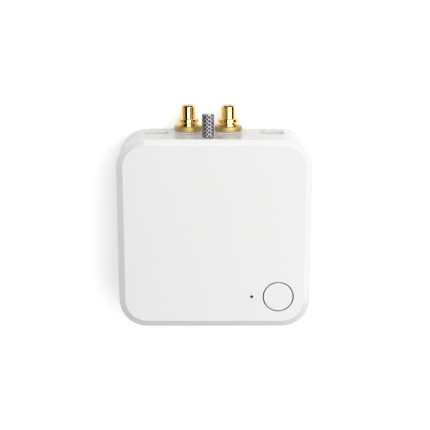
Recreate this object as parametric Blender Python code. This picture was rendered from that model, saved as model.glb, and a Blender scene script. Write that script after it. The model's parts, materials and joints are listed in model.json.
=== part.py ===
"""Wireless audio adapter: a square moulded box with two phono jacks and a ground terminal.

Metres, +Z up. The box lies on its foot pad with the face up and the connectors along +Y. The
origin is on the resting surface, under the middle of the box.
"""

from math import cos, pi, radians, sin

import bmesh
import bpy
from mathutils import Matrix, Vector

MM = 0.001

# Clearances
FIT_GAP = 0.3 * MM          # round a piece that fits in, or rests on, another
STACK_GAP = 0.2 * MM        # between washers, tags and nuts, and under soldered pieces
ROOT = 0.6 * MM             # how deep a boss or rib is rooted in its wall
OVERCUT = 1.0 * MM          # how far a cutter runs past the face it opens

# Smoothness of round forms
CORNER_STEPS = 8
ROUND_STEPS = 24
SMALL_STEPS = 14
NUT_STEPS = 24              # a multiple of six, so that the corners are met
SMOOTH_ANGLE = radians(35)

# Case
CASE_WIDTH = 110 * MM
CASE_DEPTH = 110 * MM
CASE_HEIGHT = 36 * MM       # resting surface to face
CORNER_RADIUS = 19 * MM
WALL = 2.5 * MM
FACE_THICKNESS = 2.5 * MM
WALL_DRAFT = 0.5 * MM       # each wall leans in by this from its foot to the bevel
BEVEL_WIDTH = 3.5 * MM
BEVEL_DROP = 1.2 * MM
RABBET = 1.0 * MM           # step in the wall that the base plate sits in

# Base plate, foot pad and case screws
PAD_PROUD = 1.0 * MM
PAD_RECESS = 1.0 * MM
PAD_MARGIN = 3.5 * MM
PAD_EDGE = 0.5 * MM
BASE_THICKNESS = 2.4 * MM
BOSS_RADIUS = 3.2 * MM
BOSS_INSET = 5 * MM         # inside of a side wall to the screw axes
BOSS_SPREAD = 44 * MM       # between the two screws of one side
BOSS_RIB = 1.4 * MM
PEDESTAL_RADIUS = 4.5 * MM
PEDESTAL_ROOF = 1.6 * MM    # plastic between a screw head and the boss above it
CASE_SCREW_RADIUS = 1.5 * MM
CASE_SCREW_HEAD_RADIUS = 2.7 * MM
CASE_SCREW_HEAD_HEIGHT = 1.6 * MM
CASE_SCREW_BITE = 9 * MM    # thread inside the boss

# Phono jacks
JACK_GROUP_X = -3.6 * MM    # middle of the two jacks and of the ground terminal
JACK_PITCH = 22.9 * MM
JACK_HEIGHT = 12.5 * MM     # axis above the resting surface
WASHER_THICKNESS = 0.3 * MM
FLANGE_RADIUS = 7.8 * MM
FLANGE_THICKNESS = 3.45 * MM
FLANGE_REEDS = 36
REED_DEPTH = 0.22 * MM
FLANGE_EDGE = 0.35 * MM
COLLAR_RADIUS = 5.7 * MM
COLLAR_LOWER = 1.05 * MM
COLLAR_GROOVE = 1.2 * MM
COLLAR_GROOVE_DEPTH = 0.75 * MM
COLLAR_UPPER = 1.75 * MM
COLLAR_EDGE = 0.3 * MM
BARREL_RADIUS = 4.15 * MM
BARREL_LENGTH = 7.2 * MM
BARREL_WALL = 0.75 * MM
BARREL_EDGE = 0.5 * MM
SHANK_RADIUS = 4.7 * MM
INSULATOR_RECESS = 0.2 * MM
CONTACT_BORE_RADIUS = 1.6 * MM
CONTACT_WALL = 0.4 * MM
CONTACT_RECESS = 0.6 * MM
CONTACT_DEPTH = 9 * MM
PIN_RADIUS = 0.8 * MM
PIN_ON_BOARD = 8 * MM
BUSH_WIDTH = 1.2 * MM       # of the ring round the shank
BUSH_THICKNESS = 0.8 * MM
TAG_WIDTH = 1.2 * MM        # of the ring round the shank
TAG_THICKNESS = 0.5 * MM
TAG_ARM_WIDTH = 1.2 * MM
JACK_NUT_WALL = 1.1 * MM    # shank to the middle of a flat
JACK_NUT_THICKNESS = 2.4 * MM
SHANK_SPARE = 0.9 * MM      # thread showing behind the nut

# Ground terminal
GROUND_DROP = 7 * MM        # face to the terminal's axis
GROUND_REACH = 13.2 * MM      # wall to the end of the thumb nut
STUD_RADIUS = 2.0 * MM
THUMB_NUT_RADIUS = 3.5 * MM
THUMB_NUT_EDGE = 0.3 * MM
THUMB_NUT_END = 2.0 * MM    # solid end of the nut's blind bore
KNURL_COUNT = 14            # diamonds round the nut
KNURL_DEPTH = 0.26 * MM
KNURL_ROW = 1.1 * MM
GROUND_WASHER_RADIUS = 2.75 * MM  # captive in the thumb nut's foot
GROUND_WASHER_THICKNESS = 0.4 * MM
GROUND_BOSS_RADIUS = 5.0 * MM
GROUND_BOSS_LENGTH = 6.0 * MM
STRAP_RADIUS = 4.0 * MM
STRAP_THICKNESS = 0.6 * MM
STRAP_WIDTH = 4.0 * MM
STRAP_FOOT = 8.0 * MM
GROUND_NUT_FLATS = 7.0 * MM
GROUND_NUT_THICKNESS = 3.2 * MM
STUD_SPARE = 1.0 * MM

# Pockets in the connector wall
POCKET_INSET = 22 * MM      # side of the case to the middle of a pocket
POCKET_WIDTH = 14 * MM
POCKET_HEIGHT = 12 * MM
POCKET_RADIUS = 2.0 * MM
POCKET_DEPTH = 3.0 * MM
POCKET_FLOOR = 1.5 * MM
POCKET_WALL = 1.2 * MM

# Power inlet
INLET_WIDTH = 9.0 * MM
INLET_HEIGHT = 3.3 * MM
INLET_RADIUS = 1.5 * MM
INLET_LENGTH = 7.4 * MM
INLET_WALL = 0.4 * MM
TONGUE_WIDTH = 6.6 * MM
TONGUE_THICKNESS = 0.7 * MM
TONGUE_LENGTH = 4.8 * MM
TONGUE_BASE = 1.4 * MM

# Line and phono selector
SELECTOR_WIDTH = 8.6 * MM
SELECTOR_DEPTH = 4.6 * MM
SELECTOR_HEIGHT = 3.8 * MM
SELECTOR_WALL = 0.5 * MM
SELECTOR_TRAVEL = 2.0 * MM
KNOB_WIDTH = 2.0 * MM
KNOB_HEIGHT = 1.5 * MM
KNOB_REACH = 2.0 * MM       # tip above the pocket's floor
KNOB_SADDLE = Vector((3.4, 2.4, 2.0)) * MM

# Main board
BOARD_THICKNESS = 1.6 * MM
BOARD_SIDE_MARGIN = 11.5 * MM
BOARD_FRONT_MARGIN = 11 * MM
BOARD_REAR_GAP = 1.2 * MM   # pocket back to board edge
NOTCH_MARGIN = 1.5 * MM
BOARD_SCREW_INSET = 16.5 * MM
BOARD_SCREW_REAR = 21 * MM
BOARD_SCREW_FRONT = 29 * MM
BOARD_SCREW_RADIUS = 1.1 * MM
BOARD_SCREW_HEAD_RADIUS = 2.2 * MM
BOARD_SCREW_HEAD_HEIGHT = 1.4 * MM
BOARD_SCREW_LENGTH = 4.6 * MM
POST_RADIUS = 3.0 * MM

# Push button and indicator
BUTTON_INSET_X = 18.6 * MM  # right side of the case to the button axis
BUTTON_INSET_Y = 18.6 * MM  # front of the case to the button axis
BUTTON_HOLE_RADIUS = 8.85 * MM
BUTTON_GAP = 0.4 * MM
BUTTON_EDGE = 0.35 * MM
BUTTON_DISC = 2.2 * MM
BUTTON_SKIRT = 1.6 * MM
BUTTON_GUIDE = 5.0 * MM     # guide collar below the ceiling
BUTTON_GUIDE_WALL = 1.6 * MM
BUTTON_FLANGE = 1.2 * MM    # both the width and the thickness of the retaining flange
BUTTON_STEM_RADIUS = 2.2 * MM
BUTTON_RIB = 1.2 * MM
SWITCH_SIDE = 6.2 * MM
SWITCH_HEIGHT = 3.8 * MM
PLUNGER_RADIUS = 1.7 * MM
PLUNGER_SEAT = 1.5 * MM     # depth of the plunger's hole in the switch
PLUNGER_DEPTH = 0.8 * MM    # how deep the plunger stands in it at rest
PLUNGER_REACH = 4.6 * MM
LAMP_SPACING = 15.2 * MM    # button axis to indicator hole
LAMP_HOLE_RADIUS = 0.8 * MM
LAMP_TIP_RADIUS = 0.6 * MM
LAMP_TIP_RECESS = 0.2 * MM
PIPE_RADIUS = 1.5 * MM
PIPE_COLLAR_RADIUS = 2.6 * MM
PIPE_COLLAR = 1.0 * MM
PIPE_BOSS_RADIUS = 3.2 * MM
PIPE_BOSS = 4.5 * MM
LAMP_SIZE = Vector((2.0, 1.3, 0.9)) * MM

# Pieces soldered to the board: middle (x, y) and size
WIRELESS_PLACE = Vector((-20, -27)) * MM
WIRELESS_SIZE = Vector((24, 16, 1.0)) * MM
SHIELD_SHIFT = 3.0 * MM
SHIELD_SIZE = Vector((15, 12, 2.4)) * MM
CHIPS = {
    "converter_chip": (Vector((-4, 8)) * MM, Vector((7, 7, 1.2)) * MM),
    "preamp_chip": (Vector((-4, 25)) * MM, Vector((6, 5, 1.6)) * MM),
    "regulator_chip": (Vector((26, 30)) * MM, Vector((4, 4, 1.2)) * MM),
    "power_inductor": (Vector((26, 18)) * MM, Vector((7, 7, 3.5)) * MM),
    "clock_crystal": (Vector((6, -4)) * MM, Vector((3.2, 2.5, 0.9)) * MM),
}
CHIP_EDGE = 0.25 * MM
CAPACITOR_PLACES = [Vector(place) * MM for place in ((14, 28), (14, 18), (-20, 26), (-20, 16))]
CAPACITOR_RADIUS = 3.15 * MM
CAPACITOR_HEIGHT = 7.0 * MM
CAPACITOR_LIP = 0.4 * MM
CAPACITOR_WAIST = 1.7 * MM  # height of the groove rolled round the can

# Heights and places that follow from the sizes above
BASE_BOTTOM = PAD_PROUD
BASE_TOP = BASE_BOTTOM + BASE_THICKNESS
LEDGE = BASE_TOP + FIT_GAP
RECESS_TOP = BASE_BOTTOM + PAD_RECESS
BEVEL_FOOT = CASE_HEIGHT - BEVEL_DROP
CEILING = CASE_HEIGHT - FACE_THICKNESS
GROUND_HEIGHT = CASE_HEIGHT - GROUND_DROP
SCREW_SEAT = RECESS_TOP + CASE_SCREW_HEAD_HEIGHT + 2 * STACK_GAP
PEDESTAL_TOP = SCREW_SEAT + PEDESTAL_ROOF
BOARD_TOP = JACK_HEIGHT - PIN_RADIUS - FIT_GAP
BOARD_BOTTOM = BOARD_TOP - BOARD_THICKNESS
SOLDER_LEVEL = BOARD_TOP + STACK_GAP
BUTTON_X = CASE_WIDTH / 2 - BUTTON_INSET_X
BUTTON_Y = BUTTON_INSET_Y - CASE_DEPTH / 2
LAMP_X = BUTTON_X - LAMP_SPACING
POCKET_X = CASE_WIDTH / 2 - POCKET_INSET
BUSH_RADIUS = SHANK_RADIUS + BUSH_WIDTH
TAG_RADIUS = SHANK_RADIUS + TAG_WIDTH
JACK_NUT_FLATS = 2 * (SHANK_RADIUS + JACK_NUT_WALL)
TAG_REACH = JACK_NUT_FLATS / 2 / cos(pi / 6) + FIT_GAP + TAG_ARM_WIDTH   # past the nut's corner

# Colour, roughness and metallic value of each finish
FINISHES = {
    "gloss_white_abs": ((0.86, 0.86, 0.86), 0.12, 0.0),
    "satin_white_abs": ((0.78, 0.78, 0.78), 0.45, 0.0),
    "grey_rubber": ((0.10, 0.10, 0.11), 0.85, 0.0),
    "zinc_steel": ((0.62, 0.62, 0.64), 0.35, 1.0),
    "gold_plate": ((0.93, 0.66, 0.24), 0.15, 1.0),
    "white_nylon": ((0.85, 0.85, 0.83), 0.40, 0.0),
    "nickel_knurl": ((0.40, 0.39, 0.38), 0.30, 1.0),
    "tinned_brass": ((0.72, 0.68, 0.55), 0.35, 1.0),
    "board_laminate": ((0.02, 0.16, 0.07), 0.45, 0.0),
    "black_epoxy": ((0.02, 0.02, 0.022), 0.50, 0.0),
    "black_nylon": ((0.025, 0.025, 0.025), 0.45, 0.0),
    "smoked_acrylic": ((0.03, 0.03, 0.03), 0.08, 0.0),
    "aluminium_can": ((0.75, 0.75, 0.76), 0.30, 1.0),
}

ALONG_Y = (-pi / 2, 0, 0)
POINT_DOWN = (pi, 0, 0)


def lean(height):
    """How far the outside of a wall leans in at this height."""
    return WALL_DRAFT * (height - BASE_BOTTOM) / (BEVEL_FOOT - BASE_BOTTOM)


def wall_face(height):
    """Y of the connector wall's outer face at this height."""
    return CASE_DEPTH / 2 - lean(height)


def clear_scene():
    """Remove whatever the open scene holds."""
    for item in list(bpy.data.objects):
        bpy.data.objects.remove(item)


def finish(name):
    """The material of one finish, made on first use."""
    material = bpy.data.materials.get(name)
    if material is None:
        colour, roughness, metallic = FINISHES[name]
        material = bpy.data.materials.new(name)
        material.use_nodes = True
        shader = material.node_tree.nodes["Principled BSDF"]
        shader.inputs["Base Color"].default_value = (*colour, 1)
        shader.inputs["Roughness"].default_value = roughness
        shader.inputs["Metallic"].default_value = metallic
    return material


def add_piece(name, shape, finish_name, place=(0, 0, 0), turn=(0, 0, 0), parent=None):
    """Turn a shape into a named object, with its place measured from its parent."""
    bmesh.ops.recalc_face_normals(shape, faces=shape.faces)
    mesh = bpy.data.meshes.new(name)
    shape.to_mesh(mesh)
    shape.free()
    mesh.shade_smooth()
    mesh.set_sharp_from_angle(angle=SMOOTH_ANGLE)
    mesh.materials.append(finish(finish_name))
    piece = bpy.data.objects.new(name, mesh)
    piece.location = place
    piece.rotation_euler = turn
    piece.parent = parent
    bpy.context.collection.objects.link(piece)
    return piece


def add_axis(name, place):
    """An empty that marks the axis on which its children move."""
    axis = bpy.data.objects.new(name, None)
    axis.location = place
    bpy.context.collection.objects.link(axis)
    return axis


def combine(piece, operation, tools):
    """Join or cut a piece with a set of (shape, place, turn) tools, placed as the piece is."""
    group_name = f"{piece.name}_{operation.lower()}_{len(piece.modifiers)}"
    group = bpy.data.collections.new(group_name)
    bpy.context.scene.collection.children.link(group)
    for number, (shape, place, turn) in enumerate(tools):
        tool = add_piece(f"{group_name}_{number}", shape, piece.data.materials[0].name, place, turn)
        bpy.context.collection.objects.unlink(tool)
        group.objects.link(tool)
        tool.parent = piece.parent
        tool.hide_render = True
        tool.display_type = "WIRE"
    modifier = piece.modifiers.new(operation.title(), "BOOLEAN")
    modifier.operation = operation
    modifier.operand_type = "COLLECTION"
    modifier.collection = group
    modifier.solver = "EXACT"


def turned(profile, steps=ROUND_STEPS, ring=False):
    """Spin (radius, height) points about Z. A ring's profile is a loop clear of the axis."""
    shape = bmesh.new()
    points = [shape.verts.new((radius, 0, height)) for radius, height in profile]
    for start, end in zip(points, points[1:]):
        shape.edges.new((start, end))
    if ring:
        shape.edges.new((points[-1], points[0]))
    outline = shape.verts[:] + shape.edges[:]
    bmesh.ops.spin(shape, geom=outline, cent=(0, 0, 0), axis=(0, 0, 1), angle=2 * pi, steps=steps,
                   use_merge=True)
    bmesh.ops.remove_doubles(shape, verts=shape.verts, dist=1e-7)
    return shape


def rod(radius, bottom, top, steps=ROUND_STEPS):
    """A plain round bar along Z."""
    return turned([(0, bottom), (radius, bottom), (radius, top), (0, top)], steps)


def tube(inner, outer, bottom, top, steps=ROUND_STEPS):
    """A plain round ring along Z."""
    return turned([(inner, bottom), (outer, bottom), (outer, top), (inner, top)], steps, ring=True)


def lofted(rings, closed=False):
    """Skin rings of equal point count, one after the other, with end caps or back to the first."""
    shape = bmesh.new()
    loops = [[shape.verts.new(point) for point in ring] for ring in rings]
    count = len(loops[0])
    pairs = list(zip(loops, loops[1:]))
    if closed:
        pairs.append((loops[-1], loops[0]))
    for lower, upper in pairs:
        for index in range(count):
            after = (index + 1) % count
            shape.faces.new((lower[index], lower[after], upper[after], upper[index]))
    if not closed:
        shape.faces.new(loops[0][::-1])
        shape.faces.new(loops[-1])
    return shape


def block(size, edge=0):
    """A box about the origin, with its edges bevelled where asked."""
    shape = bmesh.new()
    bmesh.ops.create_cube(shape, size=1, matrix=Matrix.Diagonal((*size, 1)))
    if edge:
        bmesh.ops.bevel(shape, geom=shape.edges[:], offset=edge, segments=1, affect="EDGES")
    return shape


def span(low, high):
    """A box between two corners, as a tool for combine."""
    low, high = Vector(low), Vector(high)
    return block(high - low), (low + high) / 2, (0, 0, 0)


def rounded_ring(width, depth, radius, height):
    """Points of a rounded rectangle at one height, counter-clockwise from above."""
    ring = []
    for quarter, (side_x, side_y) in enumerate(((1, 1), (-1, 1), (-1, -1), (1, -1))):
        centre_x = side_x * (width / 2 - radius)
        centre_y = side_y * (depth / 2 - radius)
        for step in range(CORNER_STEPS + 1):
            angle = (quarter + step / CORNER_STEPS) * pi / 2
            ring.append((centre_x + radius * cos(angle), centre_y + radius * sin(angle), height))
    return ring


def case_ring(inset, height):
    """The case's outline at one height, drawn in by an inset."""
    return rounded_ring(CASE_WIDTH - 2 * inset, CASE_DEPTH - 2 * inset, CORNER_RADIUS - inset, height)


def slot(width, height, radius, back, front):
    """A rounded slot through a wall: width along X, height along Z once turned along Y."""
    return lofted([rounded_ring(width, height, radius, level) for level in (back, front)])


def circle_ring(radius, count, height):
    """Points of a circle at one height."""
    angles = [2 * pi * index / count for index in range(count)]
    return [(radius * cos(angle), radius * sin(angle), height) for angle in angles]


def hexagon_ring(flats, count, height):
    """Points of a hexagon at one height, with a flat facing each way along the second axis."""
    ring = []
    for index in range(count):
        angle = 2 * pi * index / count
        radius = flats / 2 / cos((angle % (pi / 3)) - pi / 6)
        ring.append((radius * cos(angle), radius * sin(angle), height))
    return ring


def hexagon_nut(flats, bore, bottom, top):
    """A plain hexagon nut along Z."""
    return lofted([
        circle_ring(bore, NUT_STEPS, bottom), hexagon_ring(flats, NUT_STEPS, bottom),
        hexagon_ring(flats, NUT_STEPS, top), circle_ring(bore, NUT_STEPS, top),
    ], closed=True)


def screw(radius, head_radius, head_height, length):
    """A pan-head screw along Z: the head's top is at the bottom, the tip points up."""
    round_edge = head_height / 3
    taper = 2 * radius
    return turned([
        (0, 0), (head_radius - round_edge, 0), (head_radius, round_edge), (head_radius, head_height),
        (radius, head_height), (radius, head_height + length - taper),
        (radius / 3, head_height + length), (0, head_height + length),
    ], SMALL_STEPS)


def case_screw_places():
    """X and Y of the four case screws."""
    x, y = CASE_WIDTH / 2 - WALL - BOSS_INSET, BOSS_SPREAD / 2
    return [(-x, -y), (x, -y), (-x, y), (x, y)]


def board_screw_places():
    """X and Y of the four board screws."""
    x = CASE_WIDTH / 2 - BOARD_SCREW_INSET
    rear, front = CASE_DEPTH / 2 - BOARD_SCREW_REAR, BOARD_SCREW_FRONT - CASE_DEPTH / 2
    return [(-x, front), (x, front), (-x, rear), (x, rear)]


def jack_places():
    """Name and X of each jack."""
    return [("left_jack", JACK_GROUP_X - JACK_PITCH / 2), ("right_jack", JACK_GROUP_X + JACK_PITCH / 2)]


def inlet_axis_height():
    """Z of the power inlet's axis, where it lies soldered on the board."""
    return SOLDER_LEVEL + INLET_HEIGHT / 2


def selector_axis_height():
    """Z of the selector's knob, in the middle of its frame."""
    return SOLDER_LEVEL + SELECTOR_HEIGHT / 2


def pocket_floor():
    """Y of the outer side of the pockets' floors."""
    return wall_face(inlet_axis_height()) - POCKET_DEPTH


def make_top_shell():
    """The glossy moulding: face, bevel and walls, with the bosses and openings it carries."""
    shell = add_piece("top_shell", lofted([
        case_ring(0, BASE_BOTTOM),
        case_ring(WALL_DRAFT, BEVEL_FOOT),
        case_ring(WALL_DRAFT + BEVEL_WIDTH, CASE_HEIGHT),
    ]), "gloss_white_abs")
    cavity = lofted([
        case_ring(WALL - RABBET, BASE_BOTTOM - OVERCUT),
        case_ring(WALL - RABBET, LEDGE),
        case_ring(WALL, LEDGE),
        case_ring(WALL + WALL_DRAFT, CEILING - BEVEL_DROP),
        case_ring(WALL + WALL_DRAFT + BEVEL_WIDTH, CEILING),
    ])
    combine(shell, "DIFFERENCE", [(cavity, (0, 0, 0), (0, 0, 0))])
    combine(shell, "UNION", shell_bosses())
    combine(shell, "DIFFERENCE", shell_openings())


def shell_bosses():
    """Tools for what stands inside the shell: screw bosses, guides and pocket boxes."""
    upright = (0, 0, 0)
    boss_bottom = PEDESTAL_TOP + FIT_GAP
    tools = []
    for x, y in case_screw_places():
        tools.append((rod(BOSS_RADIUS, boss_bottom, CEILING + ROOT, SMALL_STEPS), (x, y, 0), upright))
        wall_side = (CASE_WIDTH / 2 - WALL + ROOT / 2) * (1 if x > 0 else -1)
        low_x, high_x = sorted((x, wall_side))
        tools.append(span((low_x, y - BOSS_RIB / 2, boss_bottom), (high_x, y + BOSS_RIB / 2, CEILING)))
    guide_radius = BUTTON_HOLE_RADIUS + BUTTON_GUIDE_WALL
    guide = rod(guide_radius, CEILING - BUTTON_GUIDE, CEILING + ROOT)
    tools.append((guide, (BUTTON_X, BUTTON_Y, 0), upright))
    pipe_boss = rod(PIPE_BOSS_RADIUS, CEILING - PIPE_BOSS, CEILING + ROOT, SMALL_STEPS)
    tools.append((pipe_boss, (LAMP_X, BUTTON_Y, 0), upright))
    wall_inside = wall_face(GROUND_HEIGHT) - WALL
    ground_boss = rod(GROUND_BOSS_RADIUS, -GROUND_BOSS_LENGTH, ROOT)
    tools.append((ground_boss, (JACK_GROUP_X, wall_inside, GROUND_HEIGHT), ALONG_Y))
    half_width = POCKET_WIDTH / 2 + POCKET_WALL
    half_height = POCKET_HEIGHT / 2 + POCKET_WALL
    middle = inlet_axis_height()
    pocket_back = pocket_floor() - POCKET_FLOOR
    root = wall_face(middle + half_height) - WALL + ROOT
    for x in (-POCKET_X, POCKET_X):
        tools.append(span((x - half_width, pocket_back, middle - half_height),
                          (x + half_width, root, middle + half_height)))
    return tools


def shell_openings():
    """Tools for the shell's holes: button, indicator, screws, jacks, ground stud and pockets."""
    upright = (0, 0, 0)
    through = CASE_HEIGHT + OVERCUT
    tools = []
    button_hole = rod(BUTTON_HOLE_RADIUS, CEILING - BUTTON_GUIDE - OVERCUT, through, 2 * ROUND_STEPS)
    tools.append((button_hole, (BUTTON_X, BUTTON_Y, 0), upright))
    pipe_hole = PIPE_RADIUS + FIT_GAP
    lamp_hole = turned([
        (0, CEILING - PIPE_BOSS - OVERCUT), (pipe_hole, CEILING - PIPE_BOSS - OVERCUT),
        (pipe_hole, CEILING), (LAMP_HOLE_RADIUS, CEILING), (LAMP_HOLE_RADIUS, through), (0, through),
    ], SMALL_STEPS)
    tools.append((lamp_hole, (LAMP_X, BUTTON_Y, 0), upright))
    boss_bottom = PEDESTAL_TOP + FIT_GAP
    for x, y in case_screw_places():
        pilot = rod(CASE_SCREW_RADIUS + FIT_GAP, boss_bottom - OVERCUT,
                    boss_bottom + CASE_SCREW_BITE + OVERCUT, SMALL_STEPS)
        tools.append((pilot, (x, y, 0), upright))
    for _, x in jack_places():
        jack_hole = rod(SHANK_RADIUS + FIT_GAP, -2 * WALL, WALL)
        tools.append((jack_hole, (x, wall_face(JACK_HEIGHT), JACK_HEIGHT), ALONG_Y))
    stud_hole = rod(STUD_RADIUS + FIT_GAP, -WALL - GROUND_BOSS_LENGTH - OVERCUT, OVERCUT, SMALL_STEPS)
    tools.append((stud_hole, (JACK_GROUP_X, wall_face(GROUND_HEIGHT), GROUND_HEIGHT), ALONG_Y))
    floor = pocket_floor()
    middle = inlet_axis_height()
    for x in (-POCKET_X, POCKET_X):
        pocket = slot(POCKET_WIDTH, POCKET_HEIGHT, POCKET_RADIUS, 0, POCKET_DEPTH + OVERCUT)
        tools.append((pocket, (x, floor, middle), ALONG_Y))
    inlet_slot = slot(INLET_WIDTH + 2 * FIT_GAP, INLET_HEIGHT + 2 * FIT_GAP, INLET_RADIUS + FIT_GAP,
                      -POCKET_FLOOR - OVERCUT, OVERCUT)
    tools.append((inlet_slot, (POCKET_X, floor, middle), ALONG_Y))
    half_slot = (KNOB_WIDTH + SELECTOR_TRAVEL) / 2 + FIT_GAP
    half_height = KNOB_HEIGHT / 2 + FIT_GAP
    knob_level = selector_axis_height()
    tools.append(span((-POCKET_X - half_slot, floor - POCKET_FLOOR - OVERCUT, knob_level - half_height),
                      (-POCKET_X + half_slot, floor + OVERCUT, knob_level + half_height)))
    return tools


def make_base():
    """The base plate, the rubber foot pad under it and the case screws between them."""
    upright = (0, 0, 0)
    inset = WALL - RABBET + FIT_GAP
    plate = add_piece("base_plate", lofted([case_ring(inset, BASE_BOTTOM), case_ring(inset, BASE_TOP)]),
                      "satin_white_abs")
    stands = []
    for x, y in case_screw_places():
        pedestal = rod(PEDESTAL_RADIUS, BASE_TOP - ROOT, PEDESTAL_TOP, SMALL_STEPS)
        stands.append((pedestal, (x, y, 0), upright))
    post_top = BOARD_BOTTOM - FIT_GAP
    for x, y in board_screw_places():
        stands.append((rod(POST_RADIUS, BASE_TOP - ROOT, post_top, SMALL_STEPS), (x, y, 0), upright))
    combine(plate, "UNION", stands)
    pad_inset = PAD_MARGIN - FIT_GAP
    recess = lofted([case_ring(pad_inset, BASE_BOTTOM - OVERCUT), case_ring(pad_inset, RECESS_TOP)])
    cuts = [(recess, (0, 0, 0), upright)]
    head_hole = CASE_SCREW_HEAD_RADIUS + FIT_GAP
    shank_hole = CASE_SCREW_RADIUS + FIT_GAP
    for x, y in case_screw_places():
        stepped = turned([
            (0, BASE_BOTTOM), (head_hole, BASE_BOTTOM), (head_hole, SCREW_SEAT),
            (shank_hole, SCREW_SEAT), (shank_hole, PEDESTAL_TOP + OVERCUT), (0, PEDESTAL_TOP + OVERCUT),
        ], SMALL_STEPS)
        cuts.append((stepped, (x, y, 0), upright))
    for x, y in board_screw_places():
        pilot = rod(BOARD_SCREW_RADIUS + FIT_GAP, BASE_TOP - ROOT, post_top + OVERCUT, SMALL_STEPS)
        cuts.append((pilot, (x, y, 0), upright))
    combine(plate, "DIFFERENCE", cuts)
    add_piece("foot_pad", lofted([
        case_ring(PAD_MARGIN + PAD_EDGE, 0),
        case_ring(PAD_MARGIN, PAD_EDGE),
        case_ring(PAD_MARGIN, RECESS_TOP - STACK_GAP),
    ]), "grey_rubber")
    thread = SCREW_SEAT - STACK_GAP - CASE_SCREW_HEAD_HEIGHT
    length = PEDESTAL_ROOF + FIT_GAP + CASE_SCREW_BITE
    for number, (x, y) in enumerate(case_screw_places(), start=1):
        shape = screw(CASE_SCREW_RADIUS, CASE_SCREW_HEAD_RADIUS, CASE_SCREW_HEAD_HEIGHT, length)
        add_piece(f"case_screw_{number}", shape, "zinc_steel", (x, y, thread))


def make_jack(name, x, outward):
    """One phono jack, from its barrel outside the wall to its pin on the board."""
    seat = wall_face(JACK_HEIGHT - FLANGE_RADIUS)
    place = (x, seat, JACK_HEIGHT)
    inside = wall_face(JACK_HEIGHT + BUSH_RADIUS) - WALL - seat
    flange_bottom = 2 * STACK_GAP + WASHER_THICKNESS
    flange_top = flange_bottom + FLANGE_THICKNESS
    collar_top = flange_top + COLLAR_LOWER + COLLAR_GROOVE + COLLAR_UPPER
    end = collar_top + BARREL_LENGTH
    bush_top = inside - STACK_GAP
    tag_top = bush_top - BUSH_THICKNESS - STACK_GAP
    nut_top = tag_top - TAG_THICKNESS - STACK_GAP
    shank_end = nut_top - JACK_NUT_THICKNESS - SHANK_SPARE
    bore = BARREL_RADIUS - BARREL_WALL
    groove = COLLAR_RADIUS - COLLAR_GROOVE_DEPTH
    shoulder = flange_bottom + FLANGE_THICKNESS / 2
    groove_bottom = flange_top + COLLAR_LOWER
    groove_top = groove_bottom + COLLAR_GROOVE
    body = turned([
        (bore, shank_end), (SHANK_RADIUS, shank_end), (SHANK_RADIUS, shoulder), (COLLAR_RADIUS, shoulder),
        (COLLAR_RADIUS, groove_bottom), (groove, groove_bottom), (groove, groove_top),
        (COLLAR_RADIUS, groove_top), (COLLAR_RADIUS, collar_top - COLLAR_EDGE),
        (COLLAR_RADIUS - COLLAR_EDGE, collar_top), (BARREL_RADIUS, collar_top),
        (BARREL_RADIUS, end - BARREL_EDGE), (BARREL_RADIUS - BARREL_EDGE, end), (bore, end),
    ], ring=True)
    shell = add_piece(f"{name}_shell", body, "gold_plate", place, ALONG_Y)
    flange = reeded_flange(flange_bottom, flange_top, SHANK_RADIUS - ROOT)
    combine(shell, "UNION", [(flange, place, ALONG_Y)])
    shank_hole = SHANK_RADIUS + FIT_GAP
    washer = tube(shank_hole, FLANGE_RADIUS - FLANGE_EDGE, STACK_GAP, STACK_GAP + WASHER_THICKNESS)
    add_piece(f"{name}_washer", washer, "white_nylon", place, ALONG_Y)
    contact = CONTACT_BORE_RADIUS + CONTACT_WALL
    insulator = tube(contact + STACK_GAP, bore - STACK_GAP, shank_end, end - INSULATOR_RECESS)
    add_piece(f"{name}_insulator", insulator, "white_nylon", place, ALONG_Y)
    mouth = end - CONTACT_RECESS
    pin_start = shank_end - STACK_GAP
    pin_end = notch_edge() - PIN_ON_BOARD - seat
    contact_shape = turned([
        (0, pin_end), (PIN_RADIUS, pin_end), (PIN_RADIUS, pin_start), (contact, pin_start),
        (contact, mouth), (CONTACT_BORE_RADIUS, mouth), (CONTACT_BORE_RADIUS, mouth - CONTACT_DEPTH),
        (0, mouth - CONTACT_DEPTH),
    ], SMALL_STEPS)
    add_piece(f"{name}_contact", contact_shape, "gold_plate", place, ALONG_Y)
    bush = tube(shank_hole, BUSH_RADIUS, bush_top - BUSH_THICKNESS, bush_top)
    add_piece(f"{name}_bush", bush, "white_nylon", place, ALONG_Y)
    make_tag(f"{name}_tag", place, tag_top, outward)
    nut = hexagon_nut(JACK_NUT_FLATS, shank_hole, nut_top - JACK_NUT_THICKNESS, nut_top)
    add_piece(f"{name}_nut", nut, "gold_plate", place, ALONG_Y)


def reeded_flange(bottom, top, bore):
    """A ring with fine reeds round its rim, made as one closed skin."""
    count = 2 * FLANGE_REEDS
    crest, root = FLANGE_RADIUS, FLANGE_RADIUS - REED_DEPTH
    rim = FLANGE_RADIUS - FLANGE_EDGE

    def reeds(height):
        ring = []
        for index, (x, y, _) in enumerate(circle_ring(1, count, 0)):
            radius = root if index % 2 else crest
            ring.append((x * radius, y * radius, height))
        return ring

    return lofted([
        circle_ring(bore, count, bottom), circle_ring(rim, count, bottom), reeds(bottom + FLANGE_EDGE),
        reeds(top - FLANGE_EDGE), circle_ring(rim, count, top), circle_ring(bore, count, top),
    ], closed=True)


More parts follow.
